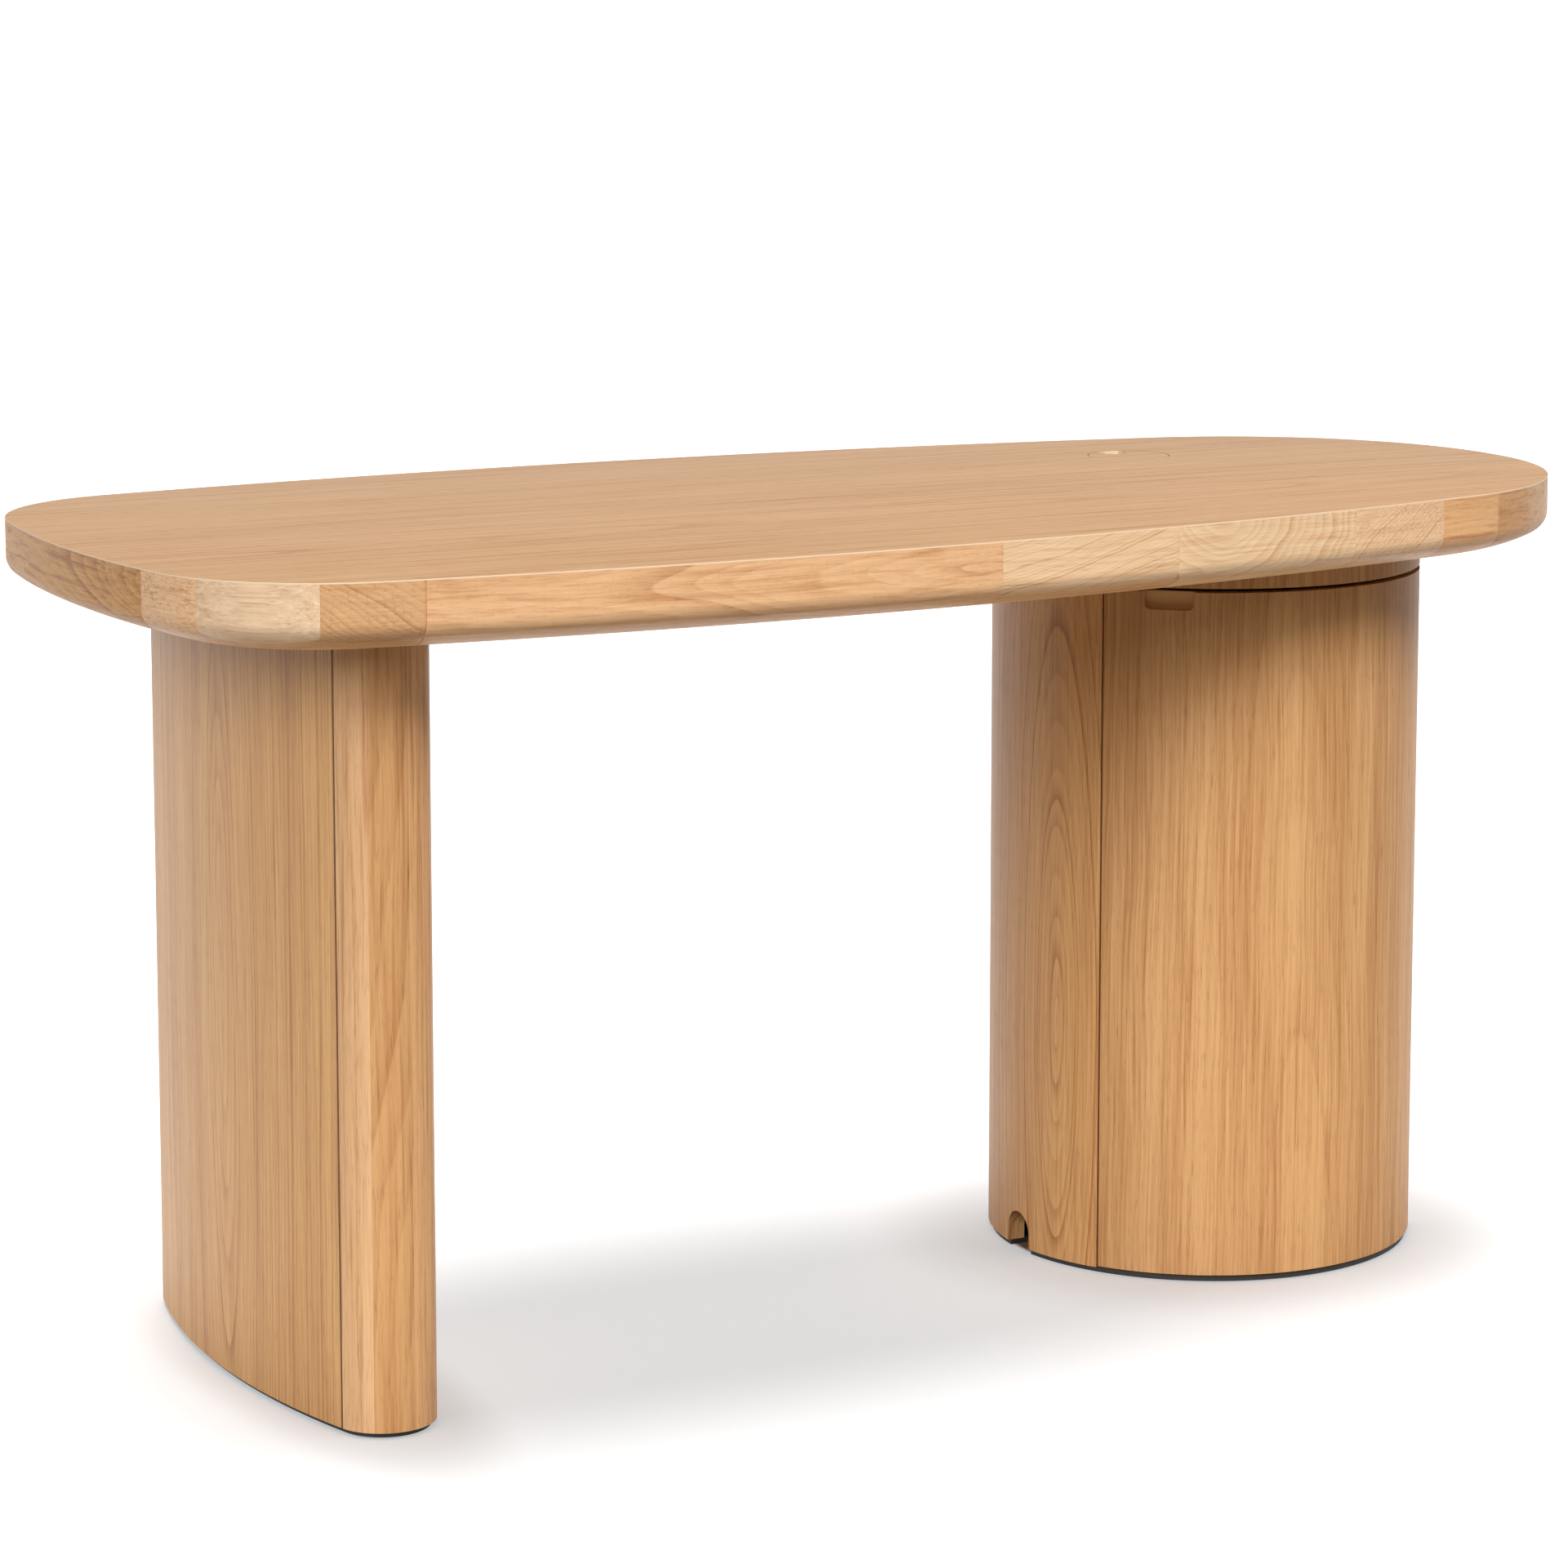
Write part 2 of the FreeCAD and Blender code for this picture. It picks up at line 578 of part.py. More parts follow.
def legPanel(side, thickness, bottom, top):
    centre = (legX + side * bowCentre, 0)
    middle = 0 if side > 0 else fullTurn / 2
    return ringSector(centre, legBow, legBow - thickness, bottom, top,
                      middle - seamBearing, middle + seamBearing)


def seamGroove(side, end):
    # an upright V bar along the seam between a panel and a post
    centre = (legX + side * bowCentre, 0)
    angle = end * seamBearing if side > 0 else fullTurn / 2 - end * seamBearing
    half = math.degrees(size("groove_width") / 2 / legBow)
    proud = legBow + size("groove_depth")
    points = [
        polar(centre, legBow - size("groove_depth"), angle, woodBottom - overrun),
        polar(centre, proud, angle + 2 * half, woodBottom - overrun),
        polar(centre, proud, angle - 2 * half, woodBottom - overrun),
    ]
    wire = Part.makePolygon(points + points[:1])
    return Part.Face(wire).extrude(Vector(0, 0, underside + overrun))


def makeLeg():
    panelDepth = size("leg_panel")
    grooves = [seamGroove(side, end) for side in (-1, 1) for end in (-1, 1)]
    blockUnder = underside - size("leg_block")
    accessZ = blockUnder - size("access_drop")
    accessRadius = size("access_diameter") / 2
    accessPlaces = [-legHalf * size("access_share"), legHalf * size("access_share")]
    outer = legPanel(-1, panelDepth, woodBottom, underside)
    inner = legPanel(1, panelDepth, woodBottom, underside)
    posts = lensPrism(0, woodBottom, underside).cut(outer).cut(inner)
    outerCut = outer
    innerCut = inner
    for groove in grooves:
        outerCut = outerCut.cut(groove)
        innerCut = innerCut.cut(groove)
        posts = posts.cut(groove)
    caps = []
    for y in accessPlaces:
        along = Part.makeCylinder(accessRadius, legHalfThickness, Vector(legX, y, accessZ), Vector(1, 0, 0))
        plug = Part.makeCylinder(accessRadius - seat, legHalfThickness,
                                 Vector(legX, y, accessZ), Vector(1, 0, 0))
        caps.append(plug.common(inner))
        innerCut = innerCut.cut(along)
    feature("leg_outer_panel", outerCut)
    feature("leg_inner_panel", innerCut)
    feature("leg_access_caps", Part.makeCompound(caps))

    tongueY = noseCentreY - size("post_tongue")
    edges = [-legHalfThickness, size("stave_shift") - size("stave_width") / 2,
             size("stave_shift") + size("stave_width") / 2, legHalfThickness]
    for end, name in ((-1, "front"), (1, "rear")):
        low = min(end * tongueY, end * legHalf)
        high = max(end * tongueY, end * legHalf)
        for index in range(len(edges) - 1):
            slab = box(legX + edges[index], legX + edges[index + 1], low, high, woodBottom, underside)
            feature("leg_%s_stave_%d" % (name, index + 1), posts.common(slab))

    # blocks and ribs fill the leg between the panels and the posts
    hollow = lensPrism(panelDepth + seat, woodBottom, underside)
    reach = tongueY - seat

    def filling(bottom, top):
        slab = box(legX - legHalfThickness, legX + legHalfThickness, -reach, reach, bottom, top)
        return hollow.common(slab)

    topBlock = filling(blockUnder, underside)
    for y in studPlaces:
        topBlock = topBlock.cut(cylinder(legX, y, studHole, blockUnder - overrun, underside + overrun))
    feature("leg_top_block", topBlock)
    footScrews = [-reach / 2, reach / 2]
    bottomBlock = filling(woodBottom, woodBottom + size("leg_block"))
    plate = lensPrism(size("foot_inset"), 0, woodBottom)
    headTop = size("screw_head_height") + size("screw_head_sink")
    screwTop = headTop + size("base_screw_length")
    for y in footScrews:
        plate = plate.cut(cylinder(legX, y, screwHead + seat, -overrun, headTop))
        plate = plate.cut(cylinder(legX, y, screwRadius + seat, -overrun, woodBottom + overrun))
        bottomBlock = bottomBlock.cut(cylinder(legX, y, screwRadius, 0, screwTop))
    feature("leg_bottom_block", bottomBlock)
    feature("leg_foot_plate", plate)
    tall = underside - woodBottom
    ribs = []
    for share in (size("rib_share"), 1 - size("rib_share")):
        middle = woodBottom + share * tall
        ribs.append(filling(middle - size("leg_rib") / 2, middle + size("leg_rib") / 2))
    feature("leg_ribs", Part.makeCompound(ribs))

    studs = []
    nuts = []
    nutSides = 6
    nutRadius = size("nut_width") / 2 / math.cos(math.pi / nutSides)
    tail = blockUnder - size("stud_tail")
    washerUnder = blockUnder - size("washer_thickness")
    for y in studPlaces:
        studs.append(cylinder(legX, y, studRadius, tail, underside + size("stud_embed")))
        washer = cylinder(legX, y, size("washer_diameter") / 2, washerUnder, blockUnder)
        nutUnder = washerUnder - size("nut_height")
        corners = [polar((legX, y), nutRadius, side * fullTurn / nutSides, nutUnder)
                   for side in range(nutSides)]
        hexagon = Part.Face(Part.makePolygon(corners + corners[:1]))
        nut = hexagon.extrude(Vector(0, 0, size("nut_height")))
        bore = cylinder(legX, y, studHole, tail, blockUnder)
        nuts.append(washer.cut(bore))
        nuts.append(nut.cut(bore))
    feature("leg_studs", Part.makeCompound(studs))
    feature("leg_nuts_and_washers", Part.makeCompound(nuts))
    return [(legX, y) for y in footScrews], headTop, screwTop


# Pedestal

pedestal = (pedestalX, 0)
openLeft = size("door_facing_angle") - size("door_half_angle")
openRight = size("door_facing_angle") + size("door_half_angle")
headerUnder = underside - size("header_height")
doorTop = headerUnder - size("door_top_gap")
doorBottom = woodBottom + size("door_bottom_gap")
axisRadius = pedestalOuter - size("pedestal_wall") / 2
hingeNose = size("pedestal_wall") / 2


def arcDegrees(length, radius):
    return math.degrees(length / radius)


axisBearing = openRight - arcDegrees(hingeNose + size("door_gap"), axisRadius)
axisPoint = polar(pedestal, axisRadius, axisBearing)
basePlateTop = size("base_plate_bottom") + size("plate_thickness")
pivotRadius = size("pivot_diameter") / 2


def sectorCut(label, outerText, innerText, heightText, startText, spanText, bottomText):
    # a bent wall: a cylinder sector less a smaller cylinder, both bound to the sheet
    whole = doc.addObject("Part::Cylinder", label + "_whole")
    core = doc.addObject("Part::Cylinder", label + "_core")
    for item, radiusText in ((whole, outerText), (core, innerText)):
        item.setExpression("Radius", expression(radiusText))
        item.setExpression("Height", expression(heightText))
        item.setExpression("Placement.Base.x", expression("desk_length / 2 - pedestal_from_end"))
        item.setExpression("Placement.Base.z", expression(bottomText))
    whole.setExpression("Angle", expression(spanText))
    whole.Placement.Rotation = Rotation(Vector(0, 0, 1), 1)
    whole.setExpression("Placement.Rotation.Angle", expression(startText))
    wall = doc.addObject("Part::Cut", label + "_wall")
    wall.Base = whole
    wall.Tool = core
    doc.recompute()
    return wall


def cutBy(label, base, toolShapes):
    # the tool is worked out from the sheet and taken out of the base
    tool = doc.addObject("Part::Feature", label + "_tool")
    tool.Shape = toolShapes[0] if len(toolShapes) == 1 else toolShapes[0].multiFuse(toolShapes[1:])
    result = doc.addObject("Part::Cut", label)
    result.Base = base
    result.Tool = tool
    doc.recompute()
    return publish(result, label)


def shelfHeights():
    low = basePlateTop
    tall = plateUnder - low
    return [low + size("lower_shelf_share") * tall, low + size("upper_shelf_share") * tall]


def radialCylinder(degrees, fromRadius, toRadius, z, radius):
    start = polar(pedestal, fromRadius, degrees, z)
    direction = polar((0, 0), 1, degrees)
    return Part.makeCylinder(radius, toRadius - fromRadius, start, direction)


def pinBearings():
    angle = size("shelf_pin_angle")
    return [angle, -angle, fullTurn / 2 - angle, fullTurn / 2 + angle]


def makeShell(plinthScrews, screwTop):
    outerText = "desk_width * pedestal_share / 2"
    wall = sectorCut(
        "shell", outerText, outerText + " - pedestal_wall",
        "desk_height - top_thickness - foot_thickness",
        "door_facing_angle + door_half_angle", "360 - 2 * door_half_angle", "foot_thickness")
    half = size("notch_width") / 2
    spring = size("notch_top") - half
    outside = pedestalX - pedestalOuter - overrun
    inside = pedestalX - pedestalInner + size("pedestal_wall")
    tools = [box(outside, inside, -half, half, woodBottom - overrun, spring)]
    tools.append(Part.makeCylinder(half, inside - outside, Vector(outside, 0, spring), Vector(1, 0, 0)))
    pinRadius = size("shelf_pin_diameter") / 2
    for shelf in shelfHeights():
        for step in (-1, 0, 1):
            z = shelf - pinRadius + step * size("pin_hole_spacing")
            for angle in pinBearings():
                tools.append(radialCylinder(angle, pedestalInner - overrun,
                                            pedestalInner + size("shelf_pin_depth"), z, pinRadius))
    for place in plinthScrews:
        tools.append(cylinder(place.x, place.y, screwRadius, 0, screwTop))
    cutBy("pedestal_shell", wall, tools)

    header = sectorCut(
        "header", outerText, outerText + " - pedestal_wall", "header_height",
        "door_facing_angle - door_half_angle", "2 * door_half_angle",
        "desk_height - top_thickness - header_height")
    bushRadius = pivotRadius + size("pivot_play") + size("bush_wall")
    bushTop = headerUnder + size("pivot_reach")
    bushHole = cylinder(axisPoint.x, axisPoint.y, bushRadius, headerUnder - overrun, bushTop)
    cutBy("door_header", header, [bushHole])


def behindDoor(shape, inner, bottom, top):
    # keeps a plate's rim clear of the door
    clear = ringSector(pedestal, pedestalOuter, inner, bottom, top, openLeft, openRight)
    return shape.cut(clear)


def makePlates():
    rim = pedestalInner - seat
    doorRim = pedestalInner - size("door_clearance")
    back = size("partition_share") * pedestalInner
    front = back - size("partition_thickness")
    far = pedestalOuter + overrun
    top = cylinder(pedestalX, 0, rim, plateUnder, underside)
    # a straight cut lets cables rise from the duct to the port
    top = top.cut(box(portX - portRadius, portX + portRadius, back, far, plateUnder - overrun, underside + overrun))
    for place in fixingPlaces:
        top = top.cut(cylinder(place.x, place.y, screwRadius, plateUnder - overrun, underside + overrun))
    feature("pedestal_top_plate", top)

    low = size("base_plate_bottom")
    base = cylinder(pedestalX, 0, rim, low, basePlateTop)
    base = behindDoor(base, doorRim, low - overrun, basePlateTop + overrun)
    base = base.cut(box(pedestalX - far, pedestalX + far, back, far, low - overrun, basePlateTop + overrun))
    feature("pedestal_base_plate", base)

    panel = cylinder(pedestalX, 0, rim, basePlateTop, plateUnder)
    panel = panel.common(box(pedestalX - far, pedestalX + far, front, back, basePlateTop, plateUnder))
    feature("duct_partition", panel)

    shelfRim = pedestalInner - size("shelf_gap")
    shelfFront = pedestalInner - size("shelf_setback")
    shelfBack = front - size("shelf_gap")
    thick = size("plate_thickness")
    for name, z in zip(("shelf_lower", "shelf_upper"), shelfHeights()):
        shelf = cylinder(pedestalX, 0, shelfRim, z, z + thick)
        shelf = behindDoor(shelf, shelfFront, z - overrun, z + thick + overrun)
        behind = box(pedestalX - far, pedestalX + far, shelfBack, far, z - overrun, z + thick + overrun)
        shelf = shelf.cut(behind)
        feature(name, shelf)
    pins = []
    pinRadius = size("shelf_pin_diameter") / 2
    for z in shelfHeights():
        for angle in pinBearings():
            pins.append(radialCylinder(angle, pedestalInner - size("shelf_pin_reach"),
                                       pedestalInner + size("shelf_pin_depth"), z - pinRadius, pinRadius))
    feature("shelf_pins", Part.makeCompound(pins))

    screws = []
    for place in fixingPlaces:
        shank = cylinder(place.x, place.y, screwRadius, plateUnder, screwTip)
        head = cylinder(place.x, place.y, screwHead, plateUnder - size("screw_head_height"), plateUnder)
        screws.append(shank.fuse(head).removeSplitter())
    feature("pedestal_fixing_screws", Part.makeCompound(screws))


# plinth screws along the fixed wall, clear of the cable notch
plinthScrewShares = [0.06, 0.25, 0.44, 0.63, 0.80]


def makePlinth(headTop):
    outer = pedestalOuter - size("plinth_inset")
    ring = ringSector(pedestal, outer, outer - size("plinth_band"), 0, woodBottom, 0, fullTurn)
    half = size("notch_width") / 2
    ring = ring.cut(box(pedestalX - pedestalOuter - overrun, pedestalX, -half, half, -overrun,
                        woodBottom + overrun))
    ring = ring.cut(cylinder(axisPoint.x, axisPoint.y, pivotRadius + size("pivot_play"),
                             -overrun, woodBottom + overrun))
    fixedSpan = openLeft + fullTurn - openRight
    places = [polar(pedestal, axisRadius, openRight + share * fixedSpan) for share in plinthScrewShares]
    for place in places:
        ring = ring.cut(cylinder(place.x, place.y, screwHead + seat, -overrun, headTop))
        ring = ring.cut(cylinder(place.x, place.y, screwRadius + seat, -overrun, woodBottom + overrun))
    feature("pedestal_plinth", ring)
    return places


def makeBaseScrews(footPlaces, plinthPlaces, headTop, screwTop):
    screws = []
    places = footPlaces + [(place.x, place.y) for place in plinthPlaces]
    for x, y in places:
        head = cylinder(x, y, screwHead, size("screw_head_sink"), headTop)
        shank = cylinder(x, y, screwRadius, headTop, screwTop)
        screws.append(head.fuse(shank).removeSplitter())
    feature("base_screws", Part.makeCompound(screws))


# Door: bent panel, free edge strip, hinge stile, pivots, catch

def makeDoor():
    freeEdge = openLeft + arcDegrees(size("door_gap"), axisRadius)
    stripEnd = freeEdge + arcDegrees(size("door_edge_strip"), axisRadius)
    stileStart = axisBearing - arcDegrees(size("door_stile"), axisRadius)
    panel = ringSector(pedestal, pedestalOuter, pedestalInner, doorBottom, doorTop, stripEnd, stileStart)
    pullBearing = freeEdge + arcDegrees(size("pull_from_edge"), pedestalOuter)
    panel = panel.cut(pullTool(pullBearing))
    catchBearing = freeEdge + arcDegrees(size("catch_from_edge"), pedestalInner)
    feature("door_panel", panel)
    strip = ringSector(pedestal, pedestalOuter, pedestalInner, doorBottom, doorTop, freeEdge, stripEnd)
    feature("door_edge_strip", strip)
    stile = ringSector(pedestal, pedestalOuter, pedestalInner, doorBottom, doorTop, stileStart, axisBearing)
    stile = stile.fuse(cylinder(axisPoint.x, axisPoint.y, hingeNose, doorBottom, doorTop))
    depth = size("pivot_depth")
    for low, high in ((doorBottom - overrun, doorBottom + depth), (doorTop - depth, doorTop + overrun)):
        stile = stile.cut(cylinder(axisPoint.x, axisPoint.y, pivotRadius, low, high))
    feature("door_hinge_stile", stile.removeSplitter())
    play = size("pivot_play")
    lowerPin = cylinder(axisPoint.x, axisPoint.y, pivotRadius, play, doorBottom + depth)
    pinTop = headerUnder + size("pivot_reach") - play
    upperPin = cylinder(axisPoint.x, axisPoint.y, pivotRadius, doorTop - depth, pinTop)
    feature("door_pivot_pins", Part.makeCompound([lowerPin, upperPin]))

    bush = bodyAt("upper_pivot_bush", axisPoint.x, axisPoint.y, headerUnder)
    ring = sketchOn(bush, "ring")
    addCircle(ring, "pivot_diameter / 2 + pivot_play + bush_wall")
    addCircle(ring, "pivot_diameter / 2 + pivot_play")
    addPad(bush, ring, "pivot_reach")
    washer = bodyAt("door_thrust_washer", axisPoint.x, axisPoint.y, woodBottom)
    ring = sketchOn(washer, "ring")
    addCircle(ring, "thrust_washer_diameter / 2")
    addCircle(ring, "pivot_diameter / 2 + pivot_play")
    addPad(washer, ring, "thrust_washer")

    inner = pedestalInner - size("strike_thickness")
    halfStrike = arcDegrees(size("strike_width") / 2, pedestalInner)
    catchUnder = plateUnder - size("catch_height")
    strike = ringSector(pedestal, pedestalInner, inner, doorTop - seat - size("strike_height"),
                        doorTop - seat, catchBearing - halfStrike, catchBearing + halfStrike)
    feature("catch_strike_plate", strike)
    centreRadius = inner - 2 * seat - size("catch_depth") / 2
    spot = polar(pedestal, centreRadius, catchBearing)
    catch = bodyAt("magnetic_catch", spot.x, spot.y, catchUnder, catchBearing)
    block = sketchOn(catch, "block")
    addRectangle(block, "catch_depth", "catch_width")
    addPad(catch, block, "catch_height")


def pullTool(degrees):
    # the finger pull: a pocket with round lower corners, open at the top
    depth = size("pull_depth")
    half = size("pull_width") / 2
    corner = size("pull_corner")
    low = doorTop - size("pull_height")
    high = doorTop + overrun
    start = pedestalOuter - depth
    through = depth + overrun
    tool = Part.makeBox(through, 2 * half, high - low - corner, Vector(start, -half, low + corner))
    middle = Part.makeBox(through, 2 * (half - corner), corner, Vector(start, -half + corner, low))
    tool = tool.fuse(middle)
    for y in (-half + corner, half - corner):
        tool = tool.fuse(Part.makeCylinder(corner, through, Vector(start, y, low + corner), Vector(1, 0, 0)))
    tool = tool.removeSplitter()
    tool.rotate(Vector(0, 0, 0), Vector(0, 0, 1), degrees)
    tool.translate(Vector(pedestalX, 0, 0))
    return tool


makeTop()
makeLipping()
makePort()
footPlaces, headTop, screwTop = makeLeg()
plinthPlaces = makePlinth(headTop)
makeShell(plinthPlaces, screwTop)
makePlates()
makeBaseScrews(footPlaces, plinthPlaces, headTop, screwTop)
makeDoor()
doc.recompute()

# every object is checked before anything is written
for obj in doc.Objects:
    if "Invalid" in obj.State or "Error" in obj.State:
        raise RuntimeError("%s did not recompute: %s" % (obj.Label, obj.State))
names = [obj.Label for obj in nodes]
if len(set(names)) != len(names):
    raise RuntimeError("two sub-parts share a name")
for obj in nodes:
    shape = obj.Shape
    if shape.isNull() or not shape.isValid() or not shape.Solids:
        raise RuntimeError("%s has no valid solid" % obj.Label)

os.makedirs("parts", exist_ok=True)
for obj in nodes:
    obj.Shape.exportStep(os.path.join("parts", obj.Label + ".step"))
print("sub-parts written:", len(nodes))
print("door axis: x %.2f y %.2f bearing %.2f" % (axisPoint.x, axisPoint.y, axisBearing))
print("port: x %.2f y %.2f" % (portX, portY))
print("corner radii: %.1f %.1f side %.1f" % (arcs[1][1], arcs[3][1], arcs[2][1]))
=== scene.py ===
import bpy
import math
import numpy as np
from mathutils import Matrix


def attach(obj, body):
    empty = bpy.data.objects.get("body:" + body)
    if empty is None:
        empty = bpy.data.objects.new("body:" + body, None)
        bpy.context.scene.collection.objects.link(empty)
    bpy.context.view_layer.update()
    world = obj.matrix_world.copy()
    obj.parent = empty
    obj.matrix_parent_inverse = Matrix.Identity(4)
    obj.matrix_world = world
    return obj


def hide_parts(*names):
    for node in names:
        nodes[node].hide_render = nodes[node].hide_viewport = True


# An oak writing desk on a white floor: bowed top with a block-built edge, lens-shaped leg,
# round cupboard pedestal with a curved door. Metres, +Z up, the user sits on the -Y side.

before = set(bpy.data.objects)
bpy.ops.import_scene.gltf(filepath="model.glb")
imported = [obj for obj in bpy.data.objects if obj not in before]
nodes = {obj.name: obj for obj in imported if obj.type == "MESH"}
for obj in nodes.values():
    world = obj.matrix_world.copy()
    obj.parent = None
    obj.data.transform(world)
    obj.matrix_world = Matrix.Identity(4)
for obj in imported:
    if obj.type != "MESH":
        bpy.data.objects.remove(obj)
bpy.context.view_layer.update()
print("desk loaded:", len(nodes), "solid nodes")


# small helpers

def tone(red, green, blue):
    # a colour as it looks on screen, 0 to 255, to the light values that nodes take
    screen = np.array([red, green, blue], float) / 255
    linear = np.where(screen <= 0.04045, screen / 12.92, ((screen + 0.055) / 1.055) ** 2.4)
    return (*linear.tolist(), 1.0)


def wire(tree, node, key, value):
    if isinstance(value, bpy.types.NodeSocket):
        tree.links.new(value, node.inputs[key])
    else:
        node.inputs[key].default_value = value


def put(tree, kind, wires=None, **settings):
    # adds one node; wires give each input a socket to link or a plain value
    node = tree.nodes.new(kind)
    for name, value in settings.items():
        setattr(node, name, value)
    for key, value in (wires or {}).items():
        wire(tree, node, key, value)
    return node


def calc(tree, operation, first, second=0.0, third=0.0):
    return put(tree, "ShaderNodeMath", {0: first, 1: second, 2: third}, operation=operation).outputs[0]


def scaled(tree, vector, factors):
    return put(tree, "ShaderNodeVectorMath", {0: vector, 1: factors}, operation="MULTIPLY").outputs[0]


def ramped(tree, value, low, high, toLow=0.0, toHigh=1.0):
    wires = dict(enumerate((value, low, high, toLow, toHigh)))
    return put(tree, "ShaderNodeMapRange", wires, interpolation_type="SMOOTHSTEP").outputs[0]


def blendColour(tree, amount, first, second):
    return put(tree, "ShaderNodeMix", {0: amount, 6: first, 7: second}, data_type="RGBA").outputs[2]


def noise(tree, vector, detail=2.0, roughness=0.5, output=0, scale=1.0):
    return put(tree, "ShaderNodeTexNoise", {"Vector": vector, "Scale": scale, "Detail": detail,
                                            "Roughness": roughness}).outputs[output]


def startGroup(name, inputs, outputs):
    group = bpy.data.node_groups.new(name, "ShaderNodeTree")
    kinds = {"vector": "NodeSocketVector", "value": "NodeSocketFloat", "colour": "NodeSocketColor"}
    for label, kind, start in inputs:
        socket = group.interface.new_socket(name=label, in_out="INPUT", socket_type=kinds[kind])
        socket.default_value = start
    for label, kind in outputs:
        group.interface.new_socket(name=label, in_out="OUTPUT", socket_type=kinds[kind])
    return group, group.nodes.new("NodeGroupInput").outputs, group.nodes.new("NodeGroupOutput")


# wood, as shader groups

# how finely each part of the figure varies per metre along the grain, out of the face and across,
# then the detail and roughness of its noise
grainNoise = {
    "sway": ((0.3, 1.0, 1.0), 2.5, 0.55), "wave": ((6.0, 12.0, 12.0), 1.0, 0.5),
    "band": ((1.2, 34.0, 34.0), 2.0, 0.6), "streak": ((4.5, 215.0, 215.0), 2.5, 0.6),
    "fibre": ((7.0, 560.0, 560.0), 2.0, 0.65), "pore": ((48.0, 900.0, 900.0), 1.0, 0.5),
    "netBreaks": ((150.0, 120.0, 220.0), 1.0, 0.5),
}
# shares and limits in the figure, the same for every board
grainMix = {
    "seedSteps": (1.71, 0.83, 1.27), "ringPace": 0.23, "ringStretch": 2.2, "earlyEdge": (0.0, 0.12),
    "quietRing": 0.25, "waveReach": 0.009, "streakLimits": (0.46, 0.78), "poreLimits": (0.56, 0.68),
    "poresBetweenRings": 0.3, "netScale": (135.0, 60.0, 260.0), "netOrder": 0.62,
    "netLine": (0.0, 0.10), "netBreakLimits": (0.40, 0.62), "ground": 0.28, "roughness": 0.40,
    "fibreRoughness": 0.10, "poreRoughness": 0.18, "fibreHeight": 0.35,
}
# the middle of each part's noise, which leaves the tone of the wood as it is
grainMiddle = {"band": 0.5, "streak": 0.22, "fibre": 0.5, "rays": 0.15}


def figure(tree, place, kind, output=0, scale=1.0):
    stretch, detail, roughness = grainNoise[kind]
    return noise(tree, scaled(tree, place, stretch), detail, roughness, output, scale)


